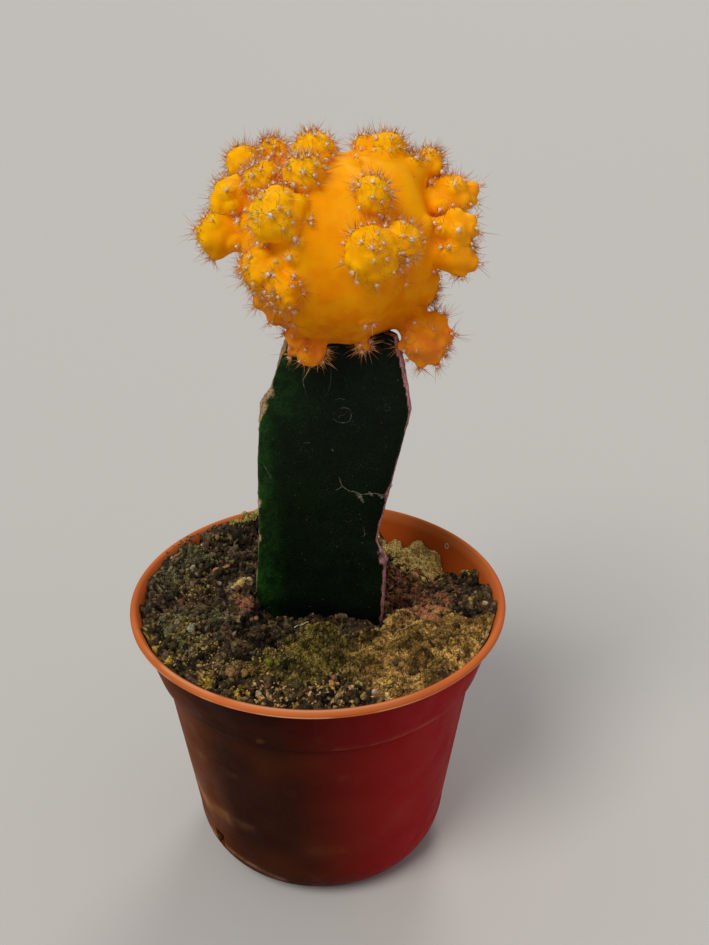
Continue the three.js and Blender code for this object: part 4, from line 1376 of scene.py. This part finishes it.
# The head, with azimuths from the front towards +X. Each offset has its azimuth, elevation, radius and
# stand-off from the skin. The tufts are the areoles that face the front, and the corners those at the
# pointed ends of offsets: azimuth, elevation and distance from the head's middle
head = {
    "centre": (5.2, 2, 156.5),
    "radius": 20.5,
    "topHeight": 17.6,
    "bottomHeight": 21,
    "plumpness": 2.2,
    "ribs": 8,
    "firstRib": -25,
    "furrow": 0.055,
    "lumps": (9, 0.9),  # size and height
    "voxel": 0.36,
    "slimness": 0.88,
    "neckTaper": 0.3,
    "neckDepth": 2,
    "neckBlend": 1.8,
    "wartBlend": 0.8,
    "wartCrease": 0.16,
    "lobeLumps": (3.7, 1.2),
    "axisLift": (-15, 0.35),  # offsets above this elevation grow upwards by this much
    "graftGap": 0.15,
    "wartSizes": (0.62, 1.65),
    "wartSpacing": 0.6,
    "wartSink": 0.18,
    "cornerSize": 1.0,
    "cornerTaper": -1.6,
    "front": (0, -0.87, 0.49),
    "spiralCount": (12, 3.6),  # areoles on an offset, and how many more for each millimetre of its radius
    "spiralReach": 108,  # degrees from the offset's axis
    "ribRows": (58, 37, 16, -10, -34),
    "ribSlant": 0.06,
    "deepest": -0.35,  # that a spiral's areole may lie in the flesh
    "tuftSpacing": 1.3,
    "frontLimit": 0.5,  # ways above it face the front, where spirals keep only crowns and the head's top
    "crownYouth": 0.72,
    "topLimit": 0.62,
    "tuftYouth": (45, 0.6, 0.2),  # elevation above which a listed tuft is young, its youth and the others'
    "margin": 4,  # how far from a round its distance still counts
    "groupReach": 2,  # how far from an offset an areole still belongs to it
    "stemTable": (100, 14, 721),  # lowest height, rows and columns
    "cutLevels": 60,
    "offsets": [(-104, 37, 3.8, 5.2), (-112, 51, 2.9, 3.4), (-70, 75, 4.6, 0.9), (122, 70, 2.2, 1.4),
                (107, 58, 4.3, 1.5), (105, 37, 2.9, 4.8), (98, 43, 3.4, 0.8),
                (-79, 7, 5, 4), (-80, 25, 3.8, 3.9), (-44, -5, 4.5, 1.5), (-30, -13, 3.6, 1.1),
                (-34, 26, 5.9, 1.5), (-30, 52, 3.9, 1.3), (-67, 42, 3.7, 1.8),
                (25, 39, 3.6, 1.3), (18, 9, 5.5, 1.3), (37, 12, 3.9, 1.4),
                (98, 20, 4.9, 4.7), (76, 9, 3.6, 5.2), (75, -3, 4, 4.8), (74, -26, 5, -1.6),
                (63, -41, 5.15, 5.9), (28, -59, 1.3, 0.9), (-43, -57, 1.9, 1.7), (-27, -61, 2.3, 2.5)],
    "tufts": [(10, 20, 20.7), (19, 22, 21.3), (27, 27, 20.3), (32, 24, 20), (36, 19, 22.8), (33, 15, 23.7),
              (12, 14, 25.5), (6, 6, 22.3), (15, 8, 26.5), (20, 8, 26.5), (27, 9, 25), (38, 7, 23.6),
              (36, -4, 19.6), (41, -12, 19.5), (21, -9, 20.6), (23, -34, 21.2), (36, 13, 24.3),
              (-35, 29, 26.5), (-27, 33, 25), (-28, 27, 26.1), (-35, 21, 26.3), (-26, 20, 24.9),
              (-29, 44, 21.9), (-22, 35, 21.4), (-16, 27, 20.3), (-15, 24, 20), (-21, 14, 20.6),
              (-22, 23, 24), (-24, 26, 25), (-30, 24, 26.4), (-61, 40, 23.9), (-82, 33, 24.1),
              (-95, 35, 23.3), (-32, 48, 23.3), (-24, 48, 22.9), (-35, 50, 23.3), (-34, 68, 18.9),
              (-42, 69, 20.5), (-18, 76, 18.9), (-17, 47, 20.6), (-104, 55, 20.6), (-102, 52, 21.8),
              (-94, 38, 24.6), (-64, 49, 22.9), (-98, 43, 24.1), (17, 41, 22.8), (27, 37, 23.9),
              (21, 35, 23.6), (32, 35, 22.9), (25, 30, 21.6), (30, 36, 23.6), (34, 55, 18.4), (90, 74, 17.7),
              (89, 65, 19.4), (41, 72, 17.7), (91, 58, 22.2), (87, 60, 20.6), (22, 40, 24), (25, 33, 23.3),
              (91, 46, 22), (95, 34, 21.2), (95, 30, 22.2), (99, 34, 25.1), (90, 25, 26), (91, 17, 27.3),
              (87, 19, 22), (97, 29, 26.3), (93, 24, 27.7), (69, 12, 22.8), (69, 10, 26), (68, 1, 22.9),
              (69, 3, 24.9), (73, 4, 27.6), (78, 12, 28), (76, 16, 25.3), (52, -34, 24.3), (49, -40, 28.5),
              (55, -32, 27.8), (48, -40, 25.5), (51, -52, 24.8), (71, -30, 25), (70, -30, 27),
              (65, -33, 30.3), (61, -44, 32.9), (56, -49, 31.3), (-51, 4, 20.3), (-44, 3, 23.6),
              (-43, 6, 20.8), (-35, -3, 23.1), (-31, -5, 22.6), (-40, -6, 24.5), (-35, -11, 24.2),
              (-24, -9, 22.8), (-21, -8, 21.1), (-23, -4, 20.7), (-20, -13, 21), (-24, -15, 23.8),
              (-44, -1, 24.6), (-46, -8, 24.7), (-62, -44, 21.1), (-52, -39, 20.5), (-66, -32, 21.1),
              (-24, 6, 20.5), (-34, 1, 20.8), (-69, 4, 22.2), (-72, 22, 23.5), (-77, 20, 26),
              (-73, 13, 26.2), (-81, 14, 27.1), (-77, 10, 28.2), (-76, -3, 25.7), (-77, 7, 28.4),
              (-73, 27, 25.5), (-37, -48, 21.1), (-26, -54, 23.9), (-20, -63, 22.5), (-29, -56, 25.5),
              (-39, -53, 24.3), (-48, -53, 22.2), (23, -56, 22.2), (30, -55, 22.1), (25, -58, 23.1)],
    "corners": [(52, -51, 25.4), (56, -48, 31.2), (61, -44, 32.6), (68, -34, 30.6), (70, -30, 27.4),
                (69, -31, 25.2), (-47, -53, 21.9), (-43, -56, 24.6), (-21, -62, 23), (-77, -3, 26),
                (-80, 7, 28.6), (-82, 17, 26.2), (73, -10, 26.8), (75, -5, 28.6), (77, 7, 29.2),
                (95, 15, 29), (96, 20, 30.2)],
    "swells": [(86, 47, 6.5, -4.4)],
    "swellBlend": 4,
    "backSeed": 23,
    "backRows": (44, 25, 3, -22),
    "backRibs": (110, 45, 4),  # the first azimuth, the step and how many
    "backRadius": (3.2, 1.6, 0.65),  # the least, what a draw adds, and the share of the top row
    "backSpread": (10, 8),
    "bodyColor": (0.98, 0.385, 0.0),
    "youngColor": (0.99, 0.49, 0.0),
    # Painted shade: the deeper orange in furrows and between warts
    "creaseShadeColor": (0.92, 0.225, 0.0),
    # Painted shade: the darker colour low down on the head
    "undersideShadeColor": (0.64, 0.145, 0.0),
    # Painted pink light: the pink low down and at the right of the head
    "pinkColor": (0.86, 0.235, 0.045),
    "undersideShadeHeights": (136, 166),  # over which the low colour ends
    "pinkLightHeights": (135, 146),
    "pinkLightSide": (26, 36),
    # The lemon fades to the right as painted light, lit from the left
    "youngPaintedLightSide": (14, 34),  # over which the young colour fades
    "cloudColor": (0.95, 0.52, 0.003),
    "spotColor": (0.36, 0.07, 0.01),
    "clouds": ((3, 3), 0.35, 0.65, 0, 0.25),
    "spots": (0.16, 0.045, 0.025, 0, 0.7),
    "roughness": ((4, 4), 0.35, 0.65, 0.46, 0.64),
    "reliefs": [(0.04, 1.2, 2), (0.01, 0.25, 2)],
}


# Repeatable draws from 0 to 1: each number is the one before times a factor plus a step, modulo a span
def chainedDraws(seed):
    factor, step, span = 1664525, 1013904223, 2 ** 32
    number = seed
    while True:
        number = (number * factor + step) % span
        yield number / span


# All offsets, with those on the hidden ribs placed by rule: (azimuth, elevation, radius, stand-off)
def allOffsets():
    draw = chainedDraws(head["backSeed"])
    rows = list(head["offsets"])
    start, step, ribs = head["backRibs"]
    least, added, topShare = head["backRadius"]
    aside, upwards = head["backSpread"]
    top, *_, lowest = head["backRows"]
    for rib in range(ribs):
        for elevation in head["backRows"]:
            radius = (least + added * next(draw)) * (topShare if elevation == top else 1)
            azimuth = start + step * rib + aside * (next(draw) - 0.5)
            lift = elevation + upwards * (next(draw) - 0.5)
            if elevation != lowest or rib % 2:
                rows.append((azimuth, lift, radius, 0.5 * radius))
    return np.array(rows, float)


# Directions (cos e·sin a, -cos e·cos a, sin e) from azimuths a off the front and elevations e, in degrees
def directionOf(azimuth, elevation):
    a, e = np.radians(azimuth), np.radians(elevation)
    return np.stack([np.cos(e) * np.sin(a), -np.cos(e) * np.cos(a), np.sin(e)], -1)


# Share of a furrow at each direction: (1 - cos(n·a)) / 2, which is 0 on a rib's crest and 1 in the furrow
def furrowShare(direction):
    azimuth = np.arctan2(direction[..., 0], -direction[..., 1]) - np.radians(head["firstRib"])
    return (1 - np.cos(head["ribs"] * azimuth)) / 2


# Distance from the head's middle to its skin: ((level/R)^p + (|z|/H)^p)^(-1/p), less the furrow
def headReach(direction):
    level = np.hypot(direction[..., 0], direction[..., 1])
    height = np.where(direction[..., 2] > 0, head["topHeight"], head["bottomHeight"])
    plump = (level / head["radius"]) ** head["plumpness"]
    plump = plump + (np.abs(direction[..., 2]) / height) ** head["plumpness"]
    return plump ** (-1 / head["plumpness"]) * (1 - head["furrow"] * level * furrowShare(direction))


headCentre = np.array(head["centre"], float)
lowestLifted, lifting = head["axisLift"]
offsets = allOffsets()
offsetRadius, offsetStand = offsets[:, 2], offsets[:, 3]
offsetWay = directionOf(offsets[:, 0], offsets[:, 1])
offsetCentre = headCentre + offsetWay * (headReach(offsetWay) + offsetStand)[:, None]
offsetAxis = unit(offsetWay + np.where(offsets[:, 1:2] > lowestLifted, lifting, 0) * (0, 0, 1))
corners = np.array(head["corners"], float)
cornerPlace = headCentre + directionOf(corners[:, 0], corners[:, 1]) * corners[:, 2:]
cornerOwner = lengthOf(cornerPlace[:, None] - offsetCentre).argmin(1)
fromOwner = cornerPlace - offsetCentre[cornerOwner]
cornerWay, cornerFar = unit(fromOwner), lengthOf(fromOwner)

# The rounds that the head's lobes are: each offset, and a small one at each corner that widens to its offset
lobeCentre = np.concatenate([offsetCentre, cornerPlace - head["cornerSize"] * cornerWay])
lobeWay = np.concatenate([offsetWay, cornerWay])
lobeRadius = np.concatenate([offsetRadius * head["slimness"], np.full(len(corners), head["cornerSize"])])
lobeNeck = np.concatenate([offsetStand + head["neckDepth"], cornerFar - head["cornerSize"]])
lobeTaper = np.repeat([head["neckTaper"], head["cornerTaper"]], [len(offsets), len(corners)])
swells = np.array(head["swells"], float)
swellWay = directionOf(swells[:, 0], swells[:, 1])
swellRadius = swells[:, 2]
swellCentre = headCentre + swellWay * (headReach(swellWay) + swells[:, 3])[:, None]


# Turned so that +Z goes to an axis
def turnToAxis(points, axis):
    first, second = squareTo(axis)
    return points[..., :1] * first + points[..., 1:2] * second + points[..., 2:] * axis


# Smaller of two distances, with the corner between them filled: min(a, b) - h²·k/4, where h = 1 - |a - b|/k
def softUnion(first, second, softness):
    overlap = np.maximum(1 - np.abs(first - second) / softness, 0)
    return np.minimum(first, second) - overlap ** 2 * softness / 4


# Distance from the bare flesh: |p - m| - reach - lumps for the head, the same for each lobe as a round
# with a neck that runs into the head, and for its swells, all joined softly
def bareDistance(points):
    fromHead = points - headCentre
    way = unit(fromHead)
    size, tall = head["lumps"]
    lumps = tall * (layeredNoise(way * head["radius"], size, 3) - 0.5)
    total = lengthOf(fromHead) - headReach(way) - lumps
    size, tall = head["lobeLumps"]
    swelling = tall * (smoothNoise(points, size, 9) - 0.5)
    for centre, outward, radius, long, taper in zip(lobeCentre, lobeWay, lobeRadius, lobeNeck, lobeTaper):
        near = lengthOf(points - centre) < radius + long + head["margin"]
        neck = -outward * long
        share = np.clip((points[near] - centre) @ neck / (neck @ neck), 0, 1)
        size = radius * (1 - taper * share)
        own = lengthOf(points[near] - centre - share[:, None] * neck) - size - swelling[near]
        total[near] = softUnion(total[near], own, head["neckBlend"])
    for centre, radius in zip(swellCentre, swellRadius):
        total = softUnion(total, lengthOf(points - centre) - radius, head["swellBlend"])
    return total


# Points moved onto the surface where a distance f is 0, by steps of -f·g/|g|², where g is its slope
def settle(points, distance, steps=3, small=0.05):
    for _ in range(steps):
        here = distance(points)
        slope = np.stack([distance(points + small * axis) - here for axis in np.eye(3)], -1) / small
        points = points - slope * (here / np.maximum((slope ** 2).sum(-1), 0.2))[:, None]
    return points, unit(slope)


# Areoles of the offsets on a golden spiral, number n of N at ((n + 0.4) / N)^0.75 of its reach from the
# axis, and of the head's ribs in slanting rows
def spiralAreoles():
    places, ways, youths = [], [], []
    least, added = head["spiralCount"]
    reach = np.radians(head["spiralReach"])
    for number, axis in enumerate(offsetAxis):
        count = int(least + added * offsetRadius[number])
        step = np.arange(count)
        polar = reach * ((step + 0.4) / count) ** 0.75
        angle = 2.4 * number + step * goldenAngle
        ways.append(turnToAxis(fromPole(polar, angle), axis))
        places.append(offsetCentre[number] + ways[-1] * offsetRadius[number] * head["slimness"])
        youths.append(1 - polar / reach)
    azimuths = head["firstRib"] + 360 / head["ribs"] * np.arange(head["ribs"])
    azimuth, elevation = np.meshgrid(azimuths, head["ribRows"], indexing="ij")
    ways.append(directionOf(azimuth.ravel() + head["ribSlant"] * elevation.ravel(), elevation.ravel()))
    places.append(headCentre + ways[-1] * headReach(ways[-1])[:, None])
    youths.append(np.zeros(azimuth.size))
    return np.concatenate(places), np.concatenate(ways), np.concatenate(youths)


# Every areole's place on the bare flesh, the way it looks and its youth from 0 to 1: the listed tufts, and
# the spirals' where they don't face the front, aren't buried and aren't next to a tuft
def allAreoles():
    listed = np.array(head["tufts"] + head["corners"], float)
    tufts = headCentre + directionOf(listed[:, 0], listed[:, 1]) * listed[:, 2:]
    places, ways, youths = spiralAreoles()
    facing = ways @ head["front"]
    apart = lengthOf(places[:, None] - tufts).min(1)
    upper = (unit(places - headCentre)[:, 2] > head["topLimit"]) & (youths > 0)
    kept = (facing < head["frontLimit"]) | (youths > head["crownYouth"]) | upper
    kept &= (bareDistance(places) > head["deepest"]) & (apart > head["tuftSpacing"]) & ~nearStem(places, 1)
    places = np.concatenate([tufts, places[kept]])
    limit, *tuftYouths = head["tuftYouth"]
    youths = np.concatenate([np.where(listed[:, 1] > limit, *tuftYouths), youths[kept]])
    places, ways = settle(places, bareDistance, steps=4)
    return places, ways, youths


# Whether points lie in the stem or within a distance of it,
# by a table of its reach at even heights and angles
def nearStem(points, distance):
    lowest, rows, columns = head["stemTable"]
    levels = np.linspace(lowest, graftHeight, rows)
    table = np.stack([stemReach(np.linspace(-np.pi, np.pi, columns), level) for level in levels])
    offset = points[..., :2] - stemCentre
    around = np.arctan2(offset[..., 1], offset[..., 0])
    row = np.clip((points[..., 2] - lowest) / (graftHeight - lowest) * (rows - 1), 0, rows - 1.001)
    column = (around + np.pi) / turn * (columns - 1)
    low, left = row.astype(int), np.clip(column.astype(int), 0, columns - 2)
    reach = table[low, left] * (1 - row + low) + table[low + 1, left] * (row - low)
    beside = np.hypot(offset[..., 0], offset[..., 1]) < reach + distance
    return beside & (points[..., 2] < graftHeight + distance)


areolePlace, areoleWay, areoleYouth = allAreoles()
toOthers = lengthOf(areolePlace[:, None] - areolePlace)
np.fill_diagonal(toOthers, np.inf)
wartSize = np.clip(head["wartSpacing"] * toOthers.min(1), *head["wartSizes"])
wartCentre = areolePlace - (head["wartSink"] * wartSize)[:, None] * areoleWay
toOffsets = lengthOf(areolePlace[:, None] - offsetCentre) - offsetRadius
wartGroup = np.where(toOffsets.min(1) < head["groupReach"], toOffsets.argmin(1), -1)


# Distance from the finished flesh: the bare flesh with a round wart
# under each areole, and creases between warts by -k·log(Σ exp(-d/k))
def fleshDistance(points):
    total = bareDistance(points)
    crease = head["wartCrease"]
    for group in np.unique(wartGroup):
        centres, sizes = wartCentre[wartGroup == group], wartSize[wartGroup == group]
        middle = centres.mean(0)
        near = lengthOf(points - middle) < lengthOf(centres - middle).max() + head["margin"]
        apart = lengthOf(points[near][:, None] - centres) - sizes
        warts = -crease * np.log(np.exp(-apart / crease).sum(1) + 1e-300)
        total[near] = softUnion(total[near], warts, head["wartBlend"])
    return total


# Rough rounds of the head and its offsets, each drawn down along its neck, for the voxel remesh to join
def roughRounds():
    rows, columns = 90, 150
    down, around = (np.arange(rows) + 0.5) / rows * np.pi, np.arange(columns) / columns * turn
    way = fromPole(*np.meshgrid(down, around, indexing="ij")) * (1, 1, -1)
    parts = [closedGrid(headCentre + way * headReach(way)[..., None])]
    for centre, outward, radius, long in zip(lobeCentre, lobeWay, lobeRadius, lobeNeck):
        skin = way * radius
        skin[..., 2] *= np.where(skin[..., 2] < 0, max(1, long / radius), 1)
        parts.append(closedGrid(centre + turnToAxis(skin, outward)))
    for centre, radius in zip(swellCentre, swellRadius):
        parts.append(closedGrid(centre + way * radius))
    return joined(parts)


# The head: rough rounds joined by a remesh, moved onto the finished flesh, smoothed and cut out for the stem
def makeHead(material):
    piece = meshObject("scion_flesh", *roughRounds())
    applyModifier(piece, "REMESH", mode="VOXEL", voxel_size=head["voxel"] / perMetre)
    points, _ = settle(pointsOf(piece), bareDistance, steps=2)
    points, _ = settle(points, fleshDistance)
    piece.data.vertices.foreach_set("co", (points / perMetre).astype(np.float32).ravel())
    applyModifier(piece, "SMOOTH", factor=0.5, iterations=2)
    lowest = head["stemTable"][0]
    cutOut(piece, closedGrid(stemPlug(head["graftGap"], lowest, graftHeight, head["cutLevels"])))
    tint(piece, headColors(pointsOf(piece)))
    finishPiece(piece, material, "scion")


# Colours of the flesh: orange on the head, with painted shade deeper in furrows and between warts, lemon on
# the offsets and at their crowns, less of it to the right as painted light, and lighter on raised warts as a
# painted highlight, painted shade darker low down, and painted pink light low down and at the right
def headColors(points):
    way = unit(points - headCentre)
    nearest, crown = np.full(len(points), 9.0), np.zeros(len(points))
    for centre, radius, axis in zip(offsetCentre, offsetRadius, offsetAxis):
        apart = (points - centre) / radius
        far = lengthOf(apart)
        crown = np.where(far < nearest, unit(apart) @ axis, crown)
        nearest = np.minimum(nearest, far)
    onOffset = 1 - ease(nearest, 0.92, 1.5)
    raised = ease(bareDistance(points), 0.05, 0.6)
    # Painted shade in the furrows and between warts
    colors = blendColors(head["bodyColor"], head["creaseShadeColor"], 0.35 * furrowShare(way) * (1 - onOffset))
    colors = blendColors(colors, head["creaseShadeColor"], 0.45 * onOffset * (1 - raised))
    # Lemon on the offsets and their crowns, and a painted highlight on raised warts
    young = onOffset * (0.3 + 0.35 * ease(crown, -0.4, 0.9) + 0.5 * raised)
    young = young * (0.5 + 0.9 * layeredNoise(points, 7, 51))
    # Painted light: less lemon towards the right
    young = young * (1 - 0.45 * ease(points[:, 0], *head["youngPaintedLightSide"]))
    colors = blendColors(colors, head["youngColor"], np.clip(young, 0, 1))
    # Painted shade low down on the head
    colors = blendColors(colors, head["undersideShadeColor"], 0.9 * (1 - ease(points[:, 2], *head["undersideShadeHeights"])))
    # Painted pink light low down and at the right
    pink = (1 - ease(points[:, 2], *head["pinkLightHeights"])) * (0.2 + 0.3 * onOffset)
    pink = pink + 0.25 * ease(points[:, 0], *head["pinkLightSide"])
    colors = blendColors(colors, head["pinkColor"], np.clip(pink, 0, 0.6))
    return colors * (0.9 + 0.2 * layeredNoise(points, 4, 53))[:, None]


# Soft flesh that lets light in: the tint with faint clouds
# and a few dark spots, and two finenesses of relief
def headMaterial():
    material = newMaterial("yellow flesh", Subsurface_Weight=0.3, Subsurface_Scale=0.0016,
                           Subsurface_Radius=(1.0, 0.5, 0.05), Specular_IOR_Level=0.04)
    place = placeInMillimetres(material)
    cloud = carriedNoise(material, place, head["clouds"])
    color = mixColors(material, cloud, tintOf(material), head["cloudColor"])
    color = mixColors(material, spotsOf(material, place, head["spots"]), color, head["spotColor"])
    return finishMaterial(material, place, color, head)


wool = {
    "seed": 33,
    "sides": (6, 3),
    "hairs": 16,
    "size": (0.29, 0.12),  # at young areoles, and what age adds
    "sizes": (0.7, 1.35),
    "large": (0.14, 1.6),  # share of the areoles that have more wool, and how much more
    "cushion": 0.7,  # its half width for each millimetre of size
    "flatness": 0.8,
    "dents": (0.7, 1.25),
    "tilts": (5, 95),
    "lengths": (1.2, 2.3),
    "thickness": 0.07,
    "pinkLightHeights": (138, 158),
    "color": (0.93, 0.76, 0.57),
    # Pink: a random tint of the wool's own, and painted pink light low down
    "pinkColor": (0.84, 0.52, 0.45),
    "tones": (0.85, 1.1),
}


# Wool: at each areole a small lumpy cushion from which short hairs stand out every way, as blades
def makeWool(material):
    rng = np.random.default_rng(wool["seed"])
    base, cushion = smallRound(*wool["sides"])
    count, hairs = len(areolePlace), wool["hairs"]
    places, _ = settle(areolePlace + 0.5 * areoleWay, fleshDistance, steps=2)
    least, added = wool["size"]
    size = (least + added * (1 - areoleYouth)) * rng.uniform(*wool["sizes"], count)
    largeShare, larger = wool["large"]
    size = np.where(rng.random(count) < largeShare, larger * size, size)
    axes = np.stack([*squareTo(areoleWay), areoleWay], 1)
    dents = rng.uniform(*wool["dents"], (count, len(base), 1))
    local = base * dents * (wool["cushion"] * size[:, None] * (1, 1, wool["flatness"]))[:, None]
    cushions = np.einsum("nki,nij->nkj", local, axes) + (places + 0.1 * areoleWay)[:, None]
    tilt = np.radians(rng.uniform(*wool["tilts"], (count, hairs)))
    angle = rng.random((count, hairs)) * turn
    way = np.einsum("nki,nij->nkj", fromPole(tilt, angle), axes)
    ring = roundAxis(bladeAngles, *squareTo(way))
    root = places[:, None] + 0.3 * size[:, None, None] * way
    foot = root[..., None, :] + wool["thickness"] * ring
    tip = places[:, None] + way * (size[:, None] * rng.uniform(*wool["lengths"], (count, hairs)))[..., None]
    shoots = np.concatenate([foot, tip[..., None, :]], 2).reshape(count * hairs, 4, 3)
    parts = [copiesOf(cushions, cushion), copiesOf(shoots, bladeTriangles)]
    piece = meshObject("areole_wool", *joined(parts))
    # Pinker low down as painted pink light, over a random pink tint
    pink = rng.random(count) * 0.5 + 0.7 * (1 - ease(places[:, 2], *wool["pinkLightHeights"]))
    color = blendColors(wool["color"], wool["pinkColor"], np.clip(pink, 0, 1))
    color = color * rng.uniform(*wool["tones"], (count, 1))
    tint(piece, np.concatenate([np.repeat(color, len(base), 0), np.repeat(color, 4 * hairs, 0)]))
    finishPiece(piece, material)


spines = {
    "seed": 57,
    "counts": (14, 12),  # at young areoles and at others
    "lengths": ((1.2, 2.8), (1.4, 3.5)),
    "spread": 0.5,  # radians either way of the even angles
    "tilts": (8, 80),
    "lift": (-0.3, 0.4),  # how far the tip bends outwards, for each millimetre of length
    "stray": 0.17,
    "thickness": (0.045, 0.08),
    "rings": (0.0, 0.35, 0.7),  # shares of the length
    "fades": (0.0, 0.45, 0.85, 1.0),  # of the colour from root to tip, at the rings and at the tip
    "rootColor": (0.78, 0.32, 0.04),
    "tipColor": (0.44, 0.105, 0.013),
    "paleColor": (0.92, 0.56, 0.19),
    "tones": (0.55, 1.35),
}


# Spines: curved needles p = foot + way·l·s + bend·l·s²,
# their radius r(1 - s)^0.6, a fan of them at each areole
def makeSpines(material):
    rng = np.random.default_rng(spines["seed"])
    young = areoleYouth > 0.5
    perAreole = np.where(young, *spines["counts"])
    spot = np.repeat(np.arange(len(areolePlace)), perAreole)
    count = len(spot)
    even = np.concatenate([np.arange(n) / n for n in perAreole]) * turn
    angle = even + rng.uniform(-spines["spread"], spines["spread"], count)
    outward = areoleWay[spot]
    around = roundAxis(angle[:, None], *squareTo(outward))[:, 0]
    tilt = np.radians(rng.uniform(*spines["tilts"], count))
    way = np.cos(tilt)[:, None] * outward + np.sin(tilt)[:, None] * around
    youngLong, oldLong = [rng.uniform(*lengths, count) for lengths in spines["lengths"]]
    long = np.where(young[spot], youngLong, oldLong)[:, None]
    bend = outward * rng.uniform(*spines["lift"], (count, 1))
    bend = (bend + rng.normal(0, spines["stray"], (count, 3))) * long
    foot = areolePlace[spot] + 0.2 * around + 0.1 * outward
    share = np.array(spines["rings"])
    line = foot[:, None] + way[:, None] * (long[..., None] * share[:, None])
    line = line + bend[:, None] * share[:, None] ** 2
    tip = foot + way * long + bend
    clear = (bareDistance(tip) > 0.1) & (bareDistance(line[:, 2]) > 0.05)
    clear &= ~nearStem(tip, 0.3) & ~nearStem(line[:, 2], 0.3)
    line, tip, way = line[clear], tip[clear], way[clear]
    count = len(tip)
    ring = roundAxis(bladeAngles, *squareTo(way))
    thick = rng.uniform(*spines["thickness"], (count, 1, 1, 1)) * ((1 - share) ** 0.6)[None, :, None, None]
    rings = line[:, :, None] + ring[:, None] * thick
    points = np.concatenate([rings.reshape(count, 9, 3), tip[:, None]], 1)
    triangles = np.concatenate([gridTriangles(3, 3), [(6, 7, 9), (7, 8, 9), (8, 6, 9), (2, 1, 0)]])
    piece = meshObject("spines", *copiesOf(points, triangles))
    fade = np.tile(np.repeat(spines["fades"], [3, 3, 3, 1]), count)
    tone = np.repeat(rng.uniform(*spines["tones"], (count, 1)), 10, 0)
    pale = np.repeat(np.clip(rng.random(count) * 2.2 - 1.2, 0, 0.85), 10)
    color = blendColors(spines["rootColor"], spines["tipColor"], fade)
    tint(piece, blendColors(color, spines["paleColor"], pale) * tone)
    finishPiece(piece, material)


fibreGrain = ((0.3, 2), 0.35, 0.65, 0.8, 1.15)


# Wool or spines: the tint times a fine grain
def fibreMaterial(name, roughness, **sockets):
    material = newMaterial(name, Roughness=roughness, **sockets)
    place = placeInMillimetres(material)
    return connect(material, Base_Color=grained(material, place, tintOf(material), fibreGrain))


# Studio: a wide pale floor, soft lights and the camera at the photograph's angle
studio = {
    "floorSize": 8.0,
    "floorColor": (0.5, 0.49, 0.475),
    "worldColor": (0.86, 0.86, 0.86),
    "worldStrength": 0.42,
    "cameraPlace": (0.0087, -0.223, 0.219),
    "cameraPitch": 27.4,
    "focalPixels": 1100,
    "imageSize": (709, 945),
    "suns": {  # tilt and azimuth, spread, strength and colour
        "key": ((38, -40), 28, 1.9, (1.0, 0.97, 0.92)),
        "back": ((46, 168), 20, 0.8, (1.0, 0.96, 0.9)),
        "pink fill": ((76, 62), 30, 0.22, (1.0, 0.42, 0.55)),
    },
}


# The floor, the world's light, the suns and the camera,
# whose lens follows from the photograph's focal length
def makeStudio():
    half = studio["floorSize"] / 2 * perMetre
    square = np.array([(-half, -half, 0), (half, -half, 0), (half, half, 0), (-half, half, 0)], float)
    floor = meshObject("floor", square, np.array([(0, 1, 2), (0, 2, 3)]))
    material = newMaterial("pale floor", Base_Color=(*studio["floorColor"], 1), Roughness=0.85)
    floor.data.materials.append(material)
    world = bpy.data.worlds.new("studio")
    world.use_nodes = True
    background = world.node_tree.nodes["Background"]
    background.inputs["Color"].default_value = (*studio["worldColor"], 1)
    background.inputs["Strength"].default_value = studio["worldStrength"]
    bpy.context.scene.world = world
    for name, ((tilt, azimuth), spread, strength, color) in studio["suns"].items():
        light = bpy.data.lights.new(name, "SUN")
        light.energy, light.angle, light.color = strength, np.radians(spread), color
        sun = bpy.data.objects.new(name, light)
        sun.rotation_euler = (np.radians(tilt), 0, np.radians(azimuth))
        bpy.context.scene.collection.objects.link(sun)
    camera = bpy.data.cameras.new("camera")
    camera.lens = studio["focalPixels"] / max(studio["imageSize"]) * camera.sensor_width
    viewer = bpy.data.objects.new("camera", camera)
    viewer.location = studio["cameraPlace"]
    viewer.rotation_euler = (np.radians(90 - studio["cameraPitch"]), 0, 0)
    bpy.context.scene.collection.objects.link(viewer)
    bpy.context.scene.camera = viewer
    bpy.context.scene.view_settings.view_transform = "Standard"


makeStudio()
print("studio ready")
makePot(potMaterial())
print("pot ready")
makeStem(stemMaterial())
makeScars(corkMaterial())
print("rootstock ready")
soilFinish = soilMaterial()
makeSoil(soilFinish)
for kind in crumbs:
    makeCrumbs(kind, soilFinish)
makeStones(soilFinish)
makeMoss(soilFinish)
makeTwigs(soilFinish)
print("soil ready")
makeHead(headMaterial())
makeWool(fibreMaterial("areole wool", 0.9, Subsurface_Weight=0.2, Subsurface_Scale=0.0005))
makeSpines(fibreMaterial("spines", 0.5))
print("scion ready")
